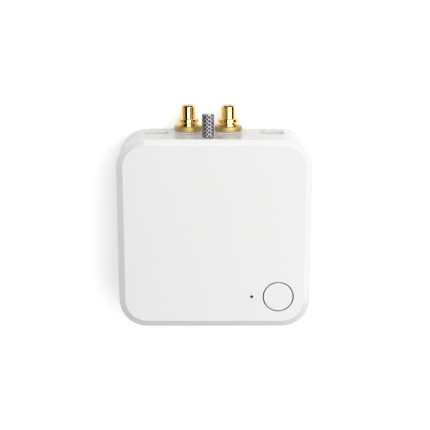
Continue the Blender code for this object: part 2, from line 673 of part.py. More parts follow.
def make_tag(name, place, top, outward):
    """A stamped solder tag: a ring on the jack's shank and an arm bent over the board."""
    x, seat, height = place
    bottom = top - TAG_THICKNESS
    ring = tube(SHANK_RADIUS + FIT_GAP, TAG_RADIUS, bottom, top)
    tag = add_piece(name, ring, "tinned_brass", place, ALONG_Y)
    near, far = x + outward * (TAG_RADIUS - ROOT), x + outward * TAG_REACH
    bend = far - outward * TAG_ARM_WIDTH
    low = SOLDER_LEVEL
    arm_low, arm_high = sorted((near, far))
    tongue_low, tongue_high = sorted((bend, far))
    arm = span((arm_low, seat + bottom, low), (arm_high, seat + top, low + TAG_ARM_WIDTH))
    tongue = span((tongue_low, notch_edge() - PIN_ON_BOARD / 2, low),
                  (tongue_high, seat + top, low + TAG_THICKNESS))
    combine(tag, "UNION", [arm, tongue])


def make_ground_terminal():
    """The stud in the wall, the knurled nut and washer outside it, the strap and nut inside it."""
    seat = wall_face(GROUND_HEIGHT - THUMB_NUT_RADIUS)
    place = (JACK_GROUP_X, seat, GROUND_HEIGHT)
    washer_top = STACK_GAP + GROUND_WASHER_THICKNESS
    bore_end = GROUND_REACH - THUMB_NUT_END
    boss_end = wall_face(GROUND_HEIGHT) - WALL - GROUND_BOSS_LENGTH - seat
    strap_top = boss_end - FIT_GAP
    inner_nut_top = strap_top - STRAP_THICKNESS - STACK_GAP
    stud_start = inner_nut_top - GROUND_NUT_THICKNESS - STUD_SPARE
    hole = STUD_RADIUS + FIT_GAP
    add_piece("ground_stud", rod(STUD_RADIUS, stud_start, bore_end - FIT_GAP, SMALL_STEPS), "zinc_steel",
              place, ALONG_Y)
    axis = add_axis("ground_axis", place)
    washer = tube(hole, GROUND_WASHER_RADIUS, STACK_GAP, washer_top)
    add_piece("ground_washer", washer, "nickel_knurl", turn=ALONG_Y, parent=axis)
    washer_room = (GROUND_WASHER_RADIUS + STACK_GAP, washer_top + STACK_GAP)
    nut = knurled_nut(STACK_GAP, GROUND_REACH, washer_room, hole, bore_end)
    add_piece("ground_thumb_nut", nut, "nickel_knurl", turn=ALONG_Y, parent=axis)
    strap_plate = tube(hole, STRAP_RADIUS, strap_top - STRAP_THICKNESS, strap_top)
    strap = add_piece("ground_strap", strap_plate, "tinned_brass", place, ALONG_Y)
    left, right = JACK_GROUP_X - STRAP_WIDTH / 2, JACK_GROUP_X + STRAP_WIDTH / 2
    back, front = seat + strap_top - STRAP_THICKNESS, seat + strap_top
    leg_top = GROUND_HEIGHT - (hole + STRAP_RADIUS) / 2
    leg = span((left, back, SOLDER_LEVEL), (right, front, leg_top))
    foot = span((left, back - STRAP_FOOT, SOLDER_LEVEL), (right, front, SOLDER_LEVEL + STRAP_THICKNESS))
    combine(strap, "UNION", [leg, foot])
    inner_nut = hexagon_nut(GROUND_NUT_FLATS, hole, inner_nut_top - GROUND_NUT_THICKNESS, inner_nut_top)
    add_piece("ground_nut", inner_nut, "zinc_steel", place, ALONG_Y)


def knurled_nut(bottom, top, foot, bore, bore_end):
    """A blind round nut whose skin is a net of raised diamonds, with a hollow foot for its washer."""
    count = 2 * KNURL_COUNT
    low, high = bottom + THUMB_NUT_EDGE, top - THUMB_NUT_EDGE
    rows = 2 * round((high - low) / KNURL_ROW / 2)
    crest, valley = THUMB_NUT_RADIUS, THUMB_NUT_RADIUS - KNURL_DEPTH
    rim = THUMB_NUT_RADIUS - THUMB_NUT_EDGE
    shape = bmesh.new()

    def add_ring(points):
        return [shape.verts.new(point) for point in points]

    def is_crest(row, column):
        return (row + column) % 2 == 0

    net = []
    for row in range(rows + 1):
        height = low + (high - low) * row / rows
        ring = []
        for column, (x, y, _) in enumerate(circle_ring(1, count, 0)):
            radius = crest if is_crest(row, column) else valley
            ring.append((x * radius, y * radius, height))
        net.append(add_ring(ring))
    rims = [add_ring(circle_ring(rim, count, level)) for level in (bottom, top)]
    foot_radius, foot_end = foot
    feet = [add_ring(circle_ring(foot_radius, count, level)) for level in (bottom, foot_end)]
    bores = [add_ring(circle_ring(bore, count, level)) for level in (foot_end, bore_end)]
    for row, (lower, upper) in enumerate(zip(net, net[1:])):
        for column in range(count):
            after = (column + 1) % count
            corners = [lower[column], lower[after], upper[after], upper[column]]
            if is_crest(row, column):
                corners = corners[1:] + corners[:1]
            shape.faces.new((corners[0], corners[1], corners[2]))
            shape.faces.new((corners[0], corners[2], corners[3]))
    skins = ((rims[0], net[0]), (net[-1], rims[1]), (feet[0], rims[0]), (feet[1], feet[0]),
             (bores[0], feet[1]), (bores[1], bores[0]))
    for lower, upper in skins:
        for column in range(count):
            after = (column + 1) % count
            shape.faces.new((lower[column], lower[after], upper[after], upper[column]))
    shape.faces.new(rims[1])
    shape.faces.new(bores[1])
    return shape


def notch_edge():
    """Y of the board's edge behind the jacks, clear of their shanks."""
    inside = wall_face(JACK_HEIGHT + BUSH_RADIUS) - WALL
    stack = BUSH_THICKNESS + TAG_THICKNESS + JACK_NUT_THICKNESS + SHANK_SPARE + 3 * STACK_GAP
    return inside - stack - NOTCH_MARGIN


def make_board():
    """The main board, notched behind the jacks, and its four screws."""
    side = CASE_WIDTH / 2 - BOARD_SIDE_MARGIN
    front = BOARD_FRONT_MARGIN - CASE_DEPTH / 2
    rear = pocket_floor() - POCKET_FLOOR - BOARD_REAR_GAP
    notch_half = JACK_PITCH / 2 + TAG_REACH + NOTCH_MARGIN
    left, right = JACK_GROUP_X - notch_half, JACK_GROUP_X + notch_half
    outline = [(-side, front), (side, front), (side, rear), (right, rear), (right, notch_edge()),
               (left, notch_edge()), (left, rear), (-side, rear)]
    shape = lofted([[(x, y, level) for x, y in outline] for level in (BOARD_BOTTOM, BOARD_TOP)])
    board = add_piece("main_board", shape, "board_laminate")
    holes = []
    for x, y in board_screw_places():
        hole = rod(BOARD_SCREW_RADIUS + FIT_GAP, BOARD_BOTTOM - OVERCUT, BOARD_TOP + OVERCUT, SMALL_STEPS)
        holes.append((hole, (x, y, 0), (0, 0, 0)))
    combine(board, "DIFFERENCE", holes)
    head_top = SOLDER_LEVEL + BOARD_SCREW_HEAD_HEIGHT
    for number, (x, y) in enumerate(board_screw_places(), start=1):
        shape = screw(BOARD_SCREW_RADIUS, BOARD_SCREW_HEAD_RADIUS, BOARD_SCREW_HEAD_HEIGHT,
                      BOARD_SCREW_LENGTH)
        add_piece(f"board_screw_{number}", shape, "zinc_steel", (x, y, head_top), POINT_DOWN)


def make_button():
    """The push button in the face, and the switch on the board that it presses."""
    radius = BUTTON_HOLE_RADIUS - BUTTON_GAP
    flange_radius = BUTTON_HOLE_RADIUS + BUTTON_FLANGE
    flange_top = CEILING - BUTTON_GUIDE - FIT_GAP
    flange_bottom = flange_top - BUTTON_FLANGE
    disc_bottom = CASE_HEIGHT - BUTTON_DISC
    switch_top = SOLDER_LEVEL + SWITCH_HEIGHT
    plunger_top = switch_top + PLUNGER_REACH
    hollow = radius - BUTTON_SKIRT
    axis = add_axis("button_axis", (BUTTON_X, BUTTON_Y, 0))
    cap = add_piece("button_cap", turned([
        (0, CASE_HEIGHT), (radius - BUTTON_EDGE, CASE_HEIGHT), (radius, CASE_HEIGHT - BUTTON_EDGE),
        (radius, flange_top), (flange_radius, flange_top), (flange_radius, flange_bottom),
        (hollow, flange_bottom), (hollow, disc_bottom), (BUTTON_STEM_RADIUS, disc_bottom),
        (BUTTON_STEM_RADIUS, plunger_top + STACK_GAP), (0, plunger_top + STACK_GAP),
    ], 2 * ROUND_STEPS), "gloss_white_abs", parent=axis)
    reach = hollow + BUTTON_SKIRT / 2
    half = BUTTON_RIB / 2
    combine(cap, "UNION", [
        span((-reach, -half, flange_top), (reach, half, disc_bottom + ROOT)),
        span((-half, -reach, flange_top), (half, reach, disc_bottom + ROOT)),
    ])
    plunger = rod(PLUNGER_RADIUS, switch_top - PLUNGER_DEPTH, plunger_top, SMALL_STEPS)
    add_piece("switch_plunger", plunger, "black_nylon", parent=axis)
    middle = (BUTTON_X, BUTTON_Y, SOLDER_LEVEL + SWITCH_HEIGHT / 2)
    housing = block((SWITCH_SIDE, SWITCH_SIDE, SWITCH_HEIGHT), CHIP_EDGE)
    body = add_piece("switch_body", housing, "black_nylon", middle)
    seat = rod(PLUNGER_RADIUS + FIT_GAP, switch_top - PLUNGER_SEAT, switch_top + OVERCUT, SMALL_STEPS)
    combine(body, "DIFFERENCE", [(seat, (BUTTON_X, BUTTON_Y, 0), (0, 0, 0))])


def make_indicator():
    """The lamp on the board and the light pipe from it to the pin hole in the face."""
    place = (LAMP_X, BUTTON_Y, 0)
    lamp_top = SOLDER_LEVEL + LAMP_SIZE.z
    add_piece("status_lamp", block(LAMP_SIZE, CHIP_EDGE), "white_nylon",
              (LAMP_X, BUTTON_Y, SOLDER_LEVEL + LAMP_SIZE.z / 2))
    collar_top = CEILING - PIPE_BOSS - FIT_GAP
    add_piece("light_pipe", turned([
        (0, lamp_top + FIT_GAP), (PIPE_RADIUS, lamp_top + FIT_GAP), (PIPE_RADIUS, collar_top - PIPE_COLLAR),
        (PIPE_COLLAR_RADIUS, collar_top - PIPE_COLLAR), (PIPE_COLLAR_RADIUS, collar_top),
        (PIPE_RADIUS, collar_top), (PIPE_RADIUS, CEILING - FIT_GAP), (LAMP_TIP_RADIUS, CEILING - FIT_GAP),
        (LAMP_TIP_RADIUS, CASE_HEIGHT - LAMP_TIP_RECESS), (0, CASE_HEIGHT - LAMP_TIP_RECESS),
    ], SMALL_STEPS), "smoked_acrylic", place)


def make_power_inlet():
    """The power inlet in the right pocket: a drawn metal shell round a contact tongue."""
    front = pocket_floor() - STACK_GAP
    place = (POCKET_X, front, inlet_axis_height())
    shape = slot(INLET_WIDTH, INLET_HEIGHT, INLET_RADIUS, -INLET_LENGTH, 0)
    shell = add_piece("power_inlet_shell", shape, "zinc_steel", place, ALONG_Y)
    inner_width, inner_height = INLET_WIDTH - 2 * INLET_WALL, INLET_HEIGHT - 2 * INLET_WALL
    hollow = slot(inner_width, inner_height, INLET_RADIUS - INLET_WALL, INLET_WALL - INLET_LENGTH, OVERCUT)
    combine(shell, "DIFFERENCE", [(hollow, place, ALONG_Y)])
    base = slot(inner_width - 2 * FIT_GAP, inner_height - 2 * FIT_GAP, INLET_RADIUS - INLET_WALL - FIT_GAP,
                INLET_WALL + STACK_GAP - INLET_LENGTH, INLET_WALL + STACK_GAP + TONGUE_BASE - INLET_LENGTH)
    tongue = add_piece("power_inlet_tongue", base, "black_nylon", place, ALONG_Y)
    blade_back = front - INLET_LENGTH + INLET_WALL + TONGUE_BASE / 2
    blade_front = front - INLET_LENGTH + INLET_WALL + TONGUE_BASE + TONGUE_LENGTH
    blade = span((POCKET_X - TONGUE_WIDTH / 2, blade_back, place[2] - TONGUE_THICKNESS / 2),
                 (POCKET_X + TONGUE_WIDTH / 2, blade_front, place[2] + TONGUE_THICKNESS / 2))
    combine(tongue, "UNION", [blade])


def make_selector():
    """The slide switch in the left pocket: a frame on the board and a knob at its left stop."""
    front = pocket_floor() - POCKET_FLOOR - STACK_GAP
    level = selector_axis_height()
    middle = (-POCKET_X, front - SELECTOR_DEPTH / 2, level)
    frame = add_piece("selector_frame", block((SELECTOR_WIDTH, SELECTOR_DEPTH, SELECTOR_HEIGHT), CHIP_EDGE),
                      "zinc_steel", middle)
    room = Vector((SELECTOR_WIDTH, SELECTOR_DEPTH, SELECTOR_HEIGHT)) - Vector((2, 2, 2)) * SELECTOR_WALL
    half_slot = (KNOB_WIDTH + SELECTOR_TRAVEL) / 2 + FIT_GAP
    half_height = KNOB_HEIGHT / 2 + FIT_GAP
    combine(frame, "DIFFERENCE", [
        (block(room), middle, (0, 0, 0)),
        span((-POCKET_X - half_slot, middle[1], level - half_height),
             (-POCKET_X + half_slot, front + OVERCUT, level + half_height)),
    ])
    axis = add_axis("selector_axis", (-POCKET_X - SELECTOR_TRAVEL / 2, front, level))
    saddle_middle = (0, -SELECTOR_WALL - FIT_GAP - KNOB_SADDLE.y / 2, 0)
    knob = add_piece("selector_knob", block(KNOB_SADDLE), "black_nylon", saddle_middle, parent=axis)
    reach = STACK_GAP + POCKET_FLOOR + KNOB_REACH
    combine(knob, "UNION", [span((-KNOB_WIDTH / 2, -SELECTOR_WALL - 2 * FIT_GAP, -KNOB_HEIGHT / 2),
                                 (KNOB_WIDTH / 2, reach, KNOB_HEIGHT / 2))])


def make_electronics():
    """The wireless module, chips, inductor, crystal and capacitors on the board."""
    x, y = WIRELESS_PLACE
    add_piece("wireless_board", block(WIRELESS_SIZE), "board_laminate",
              (x, y, SOLDER_LEVEL + WIRELESS_SIZE.z / 2))
    shield_level = SOLDER_LEVEL + WIRELESS_SIZE.z + STACK_GAP
    add_piece("wireless_shield", block(SHIELD_SIZE, CHIP_EDGE), "zinc_steel",
              (x + SHIELD_SHIFT, y, shield_level + SHIELD_SIZE.z / 2))
    for name, (chip_place, size) in CHIPS.items():
        place = (*chip_place, SOLDER_LEVEL + size.z / 2)
        add_piece(name, block(size, CHIP_EDGE), "black_epoxy", place)
    neck = CAPACITOR_RADIUS - CAPACITOR_LIP
    for number, capacitor_place in enumerate(CAPACITOR_PLACES, start=1):
        can = turned([
            (0, 0), (CAPACITOR_RADIUS, 0), (CAPACITOR_RADIUS, CAPACITOR_WAIST - CAPACITOR_LIP),
            (neck, CAPACITOR_WAIST), (CAPACITOR_RADIUS, CAPACITOR_WAIST + CAPACITOR_LIP),
            (CAPACITOR_RADIUS, CAPACITOR_HEIGHT - CAPACITOR_LIP), (neck, CAPACITOR_HEIGHT),
            (0, CAPACITOR_HEIGHT),
        ], SMALL_STEPS)
        add_piece(f"filter_capacitor_{number}", can, "aluminium_can", (*capacitor_place, SOLDER_LEVEL))


def main():
    """Build the whole adapter."""
    clear_scene()
    make_top_shell()
    make_base()
    for (name, x), outward in zip(jack_places(), (-1, 1)):
        make_jack(name, x, outward)
    make_ground_terminal()
    make_board()
    make_button()
    make_indicator()
    make_power_inlet()
    make_selector()
    make_electronics()


main()
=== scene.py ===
"""Looks of the wireless audio adapter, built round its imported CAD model.

The model gives every solid its place and size. Each class below is one sub-assembly: it makes the
fine surface of the pieces that show, dresses the solids that stay, and rides each piece on the body
that carries it. Metres, +Z up, with the connectors along +Y.
"""

import json
import logging
from collections.abc import Iterable, Sequence
from dataclasses import dataclass, field
from enum import Enum
from math import atan2, cos, pi, radians, remainder, sin, tan, tau

import bmesh
import bpy
from mathutils import Matrix, Vector

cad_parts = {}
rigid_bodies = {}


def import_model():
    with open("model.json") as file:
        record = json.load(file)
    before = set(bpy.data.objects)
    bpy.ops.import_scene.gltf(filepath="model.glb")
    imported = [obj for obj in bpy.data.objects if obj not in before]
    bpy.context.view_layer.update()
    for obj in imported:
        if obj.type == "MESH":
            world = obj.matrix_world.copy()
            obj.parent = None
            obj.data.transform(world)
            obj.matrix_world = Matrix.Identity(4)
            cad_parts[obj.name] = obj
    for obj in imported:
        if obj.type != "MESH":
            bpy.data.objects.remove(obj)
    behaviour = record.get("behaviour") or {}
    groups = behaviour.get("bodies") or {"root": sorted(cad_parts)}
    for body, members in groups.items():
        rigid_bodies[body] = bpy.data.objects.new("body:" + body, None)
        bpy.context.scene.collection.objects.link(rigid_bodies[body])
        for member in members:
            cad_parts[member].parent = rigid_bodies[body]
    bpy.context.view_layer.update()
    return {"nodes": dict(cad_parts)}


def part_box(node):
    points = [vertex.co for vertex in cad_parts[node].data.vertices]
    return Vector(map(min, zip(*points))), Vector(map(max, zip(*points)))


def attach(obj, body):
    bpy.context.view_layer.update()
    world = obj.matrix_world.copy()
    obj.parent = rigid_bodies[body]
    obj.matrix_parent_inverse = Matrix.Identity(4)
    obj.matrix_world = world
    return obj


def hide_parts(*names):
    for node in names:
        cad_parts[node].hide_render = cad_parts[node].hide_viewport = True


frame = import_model()

LOG = logging.getLogger("adapter")
MM = 0.001

FIT = 0.3 * MM              # clearance round a piece that fits in another
STACK = 0.2 * MM            # clearance between stacked pieces
HAIR = 0.01 * MM            # a gap too fine to see, which keeps two faces from meeting
SLIVER = 0.001 * MM         # what stays straight between two round corners, so that they don't meet
OVERCUT = 1.0 * MM          # how far a cutter runs past the face that it opens
ROOT = 0.6 * MM             # how deep a boss is rooted in its wall
MERGE = 0.0001 * MM         # points closer than this are one
SHARP = radians(32)         # an edge that turns by more than this stays crisp
RIM_TURN = radians(80)      # how far the rounding of a hole's rim turns
RIM_EXIT = (1.8, 0.17)      # where its cutter leaves it, outwards and upwards, in radii of the rim
FINE = 128                  # faces round a turned piece that shows large
COARSE = 32                 # faces round a small hole

Point = tuple[float, float]
Corner = tuple[float, float, float]


class Body(Enum):
    """The bodies of the model that pieces ride on."""

    CASE = "case"
    BUTTON = "button"
    CARRIER = "ground_carrier"
    THUMB_NUT = "thumb_nut"
    SELECTOR = "selector"


class Facing(Enum):
    """Where the axis of a turned piece points."""

    UP = Matrix.Identity(4)
    OUT = Matrix.Rotation(-pi / 2, 4, "X")

    def at(self, place: Sequence[float]) -> Matrix:
        """The matrix that stands a piece at a place with this facing."""
        return Matrix.Translation(place) @ self.value


class Cut(Enum):
    """How tools change the form that they meet."""

    JOIN = "UNION"
    REMOVE = "DIFFERENCE"


def linear(colour: str) -> tuple[float, float, float, float]:
    """Turn an sRGB hex colour into linear RGBA.

    Args:
        colour: Six hex digits after a hash sign.
    Returns:
        Linear red, green and blue, and an alpha of 1.
    """
    parts = [int(colour[start:start + 2], 16) / 255 for start in (1, 3, 5)]
    red, green, blue = (part / 12.92 if part <= 0.04045 else ((part + 0.055) / 1.055) ** 2.4
                        for part in parts)
    return red, green, blue, 1.0


def add_node(tree: bpy.types.NodeTree, kind: str, sockets: dict | None = None, **settings) -> bpy.types.Node:
    """Add a node, set its own settings, and set or link its inputs.

    Args:
        tree: The tree that gets the node.
        kind: Blender's type name of the node.
        sockets: What goes to each input, by name or number: a value, or the output that feeds it.
        settings: The node's own properties.
    Returns:
        The new node.
    """
    node = tree.nodes.new(kind)
    for name, value in settings.items():
        setattr(node, name, value)
    for key, value in (sockets or {}).items():
        if isinstance(value, bpy.types.NodeSocket):
            tree.links.new(value, node.inputs[key])
        else:
            node.inputs[key].default_value = value
    return node


@dataclass(frozen=True)
class Finish:
    """A real material and how its surface was made, with the name of a record slot."""

    name: str
    slot: str
    colour: str
    shade: str
    roughness: float
    spread: float = 0.04
    metallic: float = 0.0
    ior: float = 1.5
    depth_mm: float = 0.001

    def pattern(self, tree: bpy.types.NodeTree) -> bpy.types.NodeSocket:
        """A height from 0 to 1 over the surface, which tone, gloss and relief follow."""
        raise NotImplementedError

    def place(self, tree: bpy.types.NodeTree, sizes_mm: Sequence[float]) -> bpy.types.NodeSocket:
        """The place on the piece, in units of a real size along each axis.

        Args:
            tree: The material's tree.
            sizes_mm: What counts as one unit along X, Y and Z.
        Returns:
            The scaled object coordinates.
        """
        source = add_node(tree, "ShaderNodeTexCoord").outputs["Object"]
        scale = [1 / (size * MM) for size in sizes_mm]
        return add_node(tree, "ShaderNodeMapping", {"Vector": source, "Scale": scale}).outputs[0]

    def material(self) -> bpy.types.Material:
        """The finish as a node material, made on its first use.

        Returns:
            The material, shared by every piece with this finish.
        """
        made = bpy.data.materials.get(self.name)
        if made:
            return made
        made = bpy.data.materials.new(self.name)
        made.use_nodes = True
        tree = made.node_tree
        shader = tree.nodes["Principled BSDF"]
        height = self.pattern(tree)
        tone = add_node(tree, "ShaderNodeMix", {0: height, 6: linear(self.shade), 7: linear(self.colour)},
                        data_type="RGBA")
        gloss = add_node(tree, "ShaderNodeMapRange", {
            "Value": height, "To Min": self.roughness + self.spread, "To Max": self.roughness - self.spread,
        })
        relief = add_node(tree, "ShaderNodeBump", {"Height": height, "Distance": self.depth_mm * MM})
        tree.links.new(tone.outputs[2], shader.inputs["Base Color"])
        tree.links.new(gloss.outputs[0], shader.inputs["Roughness"])
        tree.links.new(relief.outputs[0], shader.inputs["Normal"])
        shader.inputs["Metallic"].default_value = self.metallic
        shader.inputs["IOR"].default_value = self.ior
        return made


@dataclass(frozen=True)
class Moulded(Finish):
    """Plastic or rubber that copies its tool: an even skin with a fine swell."""

    grain_mm: float = 0.6

    def pattern(self, tree: bpy.types.NodeTree) -> bpy.types.NodeSocket:
        """Soft grain, the same size every way."""
        place = self.place(tree, [self.grain_mm] * 3)
        return add_node(tree, "ShaderNodeTexNoise", {"Vector": place, "Scale": 1.0, "Detail": 3.0}).outputs[0]


@dataclass(frozen=True)
class Turned(Finish):
    """Metal off a lathe, plated: faint rings round an axis along Y."""

    ring_mm: float = 0.15
    drift_mm: float = 5.0

    def pattern(self, tree: bpy.types.NodeTree) -> bpy.types.NodeSocket:
        """Rings that follow each other along the axis and drift slowly round it."""
        place = self.place(tree, (self.drift_mm, self.ring_mm, self.drift_mm))
        return add_node(tree, "ShaderNodeTexNoise", {"Vector": place, "Scale": 1.0, "Detail": 2.0}).outputs[0]


@dataclass(frozen=True)
class Knurled(Turned):
    """Turned metal with a rolled net of grooves, whose colour is painted darker than the crests as the shade
    that falls in them.
    """

    # how far the grooves are lowered: their painted shade, duller gloss and relief all follow
    groove_shade_share: float = 0.75

    def pattern(self, tree: bpy.types.NodeTree) -> bpy.types.NodeSocket:
        """The lathe's rings, lowered in the grooves that the mesh marks, which paints shade into their colour
        and gives them relief and a duller gloss.

        Args:
            tree: The material's tree.
        Returns:
            The height.
        """
        rings = super().pattern(tree)
        groove = add_node(tree, "ShaderNodeAttribute", attribute_name="groove").outputs["Fac"]
        # painted shade in the grooves: this lowers the height that darkens their colour
        dark = add_node(tree, "ShaderNodeMath", {0: groove, 1: self.groove_shade_share}, operation="MULTIPLY")
        return add_node(tree, "ShaderNodeMath", {0: rings, 1: dark.outputs[0]}, operation="SUBTRACT",
                        use_clamp=True).outputs[0]


@dataclass(frozen=True)
class Rolled(Finish):
    """Sheet metal from the mill: fine streaks along X."""

    streak_mm: float = 0.12
    length_mm: float = 8.0

    def pattern(self, tree: bpy.types.NodeTree) -> bpy.types.NodeSocket:
        """Long thin streaks."""
        place = self.place(tree, (self.length_mm, self.streak_mm, self.streak_mm))
        return add_node(tree, "ShaderNodeTexNoise", {"Vector": place, "Scale": 1.0, "Detail": 2.0}).outputs[0]


@dataclass(frozen=True)
class Printed(Finish):
    """Circuit board: copper tracks raised a little under the solder mask."""

    track_mm: float = 0.9
    run_mm: float = 7.0
    gap_mm: float = 0.225
    blur: float = 0.4

    def pattern(self, tree: bpy.types.NodeTree) -> bpy.types.NodeSocket:
        """Staggered runs of track with bare gaps between them.

        Args:
            tree: The material's tree.
        Returns:
            The height.
        """
        place = self.place(tree, (1.0, 1.0, 1.0))
        return add_node(tree, "ShaderNodeTexBrick", {
            "Vector": place, "Scale": 1.0, "Mortar Size": self.gap_mm, "Mortar Smooth": self.blur,
            "Brick Width": self.run_mm, "Row Height": self.track_mm,
        }).outputs["Fac"]


# Glossy ABS from a polished tool: clean mirror-like lights over a soft white, hardly any waviness.
GLOSS_ABS = Moulded("moulded gloss ABS", "gloss_white", "#E6E6E5", "#E3E3E2", 0.10, 0.02, ior=1.53,
                    depth_mm=0.0006, grain_mm=3.0)
# ABS from a spark-eroded tool: an even sand-like mat, so lights spread wide.
SATIN_ABS = Moulded("spark-textured ABS", "satin_white", "#DEDEDC", "#D2D2D0", 0.48, 0.06, ior=1.53,
                    depth_mm=0.02, grain_mm=0.35)
# Moulded silicone rubber: dull and dark, with a dusty bloom between the grains.
RUBBER = Moulded("moulded silicone rubber", "grey_rubber", "#56565A", "#47474B", 0.82, 0.08, ior=1.41,
                 depth_mm=0.02, grain_mm=0.4)
# Gold plating on polished brass: a warm mirror with the lathe's finest rings left in it.
POLISHED_GOLD = Turned("polished gold plate", "gold_plate", "#FFE09B", "#FCDA90", 0.06, 0.02, metallic=1.0,
                       depth_mm=0.00005, ring_mm=0.25)
# Gold plating over cut reeds: the same metal, satin, with shade painted darker between the crests of the
# reeds.
REEDED_GOLD = Knurled("gold plate over cut reeds", "gold_plate", "#F3E3A6", "#C6A764", 0.42, 0.05,
                      metallic=1.0, depth_mm=0.0008, ring_mm=0.2, groove_shade_share=0.45)
# Natural nylon: milky, between gloss and mat.
NYLON = Moulded("natural nylon", "white_nylon", "#F5F4F1", "#EFEEEA", 0.38, 0.05, ior=1.53,
                depth_mm=0.004, grain_mm=0.5)
# Nickel plating over knurled brass: bright crests, and duller grooves whose grey is painted shade.
KNURLED_NICKEL = Knurled("nickel plate over knurled brass", "nickel_knurl", "#F0F0F0", "#8C8C8E", 0.16,
                         0.04, metallic=1.0, depth_mm=0.0006, ring_mm=0.2)
# Bright zinc on turned steel: cool grey with a slight bluish haze.
ZINC_STEEL = Turned("zinc-plated turned steel", "zinc_steel", "#C9CBCF", "#B6B9BE", 0.32, 0.06,
                    metallic=1.0, depth_mm=0.001, ring_mm=0.2)
# Drawn steel sheet: bright, with the mill's streaks along it.
SHEET_STEEL = Rolled("nickel-plated steel sheet", "zinc_steel", "#CFCECB", "#BDBCB9", 0.26, 0.06,
                     metallic=1.0, depth_mm=0.0008)
# Hot-tinned brass: pale yellow-grey, a little uneven where the tin set.
TINNED_BRASS = Rolled("tinned brass sheet", "tinned_brass", "#DDD6C2", "#CBC2A6", 0.34, 0.08,
                      metallic=1.0, depth_mm=0.002, streak_mm=0.5)
# Glass laminate under solder mask: green lacquer, paler over the copper.
LAMINATE = Printed("solder-masked laminate", "board_laminate", "#1F6B3E", "#174E2E", 0.36, 0.06, ior=1.55,
                   depth_mm=0.03)
# Moulded epoxy: charcoal with a fine gritty skin.
EPOXY = Moulded("moulded epoxy", "black_epoxy", "#2B2B2D", "#242426", 0.52, 0.06, ior=1.55,
                depth_mm=0.006, grain_mm=0.2)
# Glass-filled nylon: black, faintly cloudy where fibres reach the skin.
BLACK_NYLON = Moulded("glass-filled nylon", "black_nylon", "#29292A", "#212122", 0.42, 0.08, ior=1.53,
                      depth_mm=0.004, grain_mm=0.3)
# Polished smoked acrylic: a black window with a sharp glint.
ACRYLIC = Moulded("polished smoked acrylic", "smoked_acrylic", "#1C1C1E", "#171719", 0.06, 0.02, ior=1.49,
                  depth_mm=0.0004, grain_mm=1.5)
# Drawn aluminium: bright, soft-edged lights, with drawing marks up the can.
ALUMINIUM = Rolled("drawn aluminium", "aluminium_can", "#D6D7D9", "#C4C5C8", 0.28, 0.06, metallic=1.0,
                   depth_mm=0.001, streak_mm=0.25, length_mm=0.25)


def rounded(corners: Sequence[Corner], steps: int = 5, closed: bool = False) -> list[Point]:
    """Run a path through corners, each rounded by its own radius.

    Args:
        corners: Across, along and radius of each corner, in order.
        steps: Straight pieces in each arc.
        closed: The path returns to its first corner, so that the ends are rounded too.
    Returns:
        The points of the path.
    """
    points: list[Point] = []
    last = len(corners) - 1
    for index, (across, along, radius) in enumerate(corners):
        here = Vector((across, along))
        if not radius or (index in (0, last) and not closed):
            points.append((across, along))
            continue
        before = (Vector(corners[index - 1][:2]) - here).normalized()
        after = (Vector(corners[(index + 1) % len(corners)][:2]) - here).normalized()
        half = before.angle(after) / 2
        centre = here + (before + after).normalized() * radius / sin(half)
        first = here + before * radius / tan(half) - centre
        final = here + after * radius / tan(half) - centre
        start = atan2(first.y, first.x)
        sweep = remainder(atan2(final.y, final.x) - start, tau)
        for step in range(steps + 1):
            angle = start + sweep * step / steps
            points.append((centre.x + radius * cos(angle), centre.y + radius * sin(angle)))
    return points


def flared(radius: float, level: float, edge: float, steps: int = 5) -> list[Point]:
    """The side of a hole's cutter where it leaves the surface, so that the rim comes out rounded.

    Args:
        radius: Radius of the hole, or its growth from a drawn outline.
        level: Where the surface lies.
        edge: Radius of the rim.
        steps: Straight pieces in the rim.
    Returns:
        Points from below the rim to well past the surface.
    """
    arc = []
    for step in range(steps + 1):
        angle = RIM_TURN * step / steps
        arc.append((radius + edge * (1 - cos(angle)), level - edge + edge * sin(angle)))
    out, up = RIM_EXIT
    return [*arc, (radius + out * edge, level + up * edge), (radius + out * edge, level + OVERCUT)]


def oblong(width: float, depth: float, radius: float, level: float, steps: int = 8) -> list[Vector]:
    """A rectangle with round corners at one level.

    Args:
        width: Size along X.
        depth: Size along Y.
        radius: Corner radius.
        level: Height of the ring.
        steps: Straight pieces in each corner.
    Returns:
        The ring's points.
    """
    ring = []
    for quarter, (sign_x, sign_y) in enumerate(((1, 1), (-1, 1), (-1, -1), (1, -1))):
        for step in range(steps + 1):
            angle = (quarter + step / steps) * pi / 2
            ring.append(Vector((sign_x * (width / 2 - radius) + radius * cos(angle),
                                sign_y * (depth / 2 - radius) + radius * sin(angle), level)))
    return ring


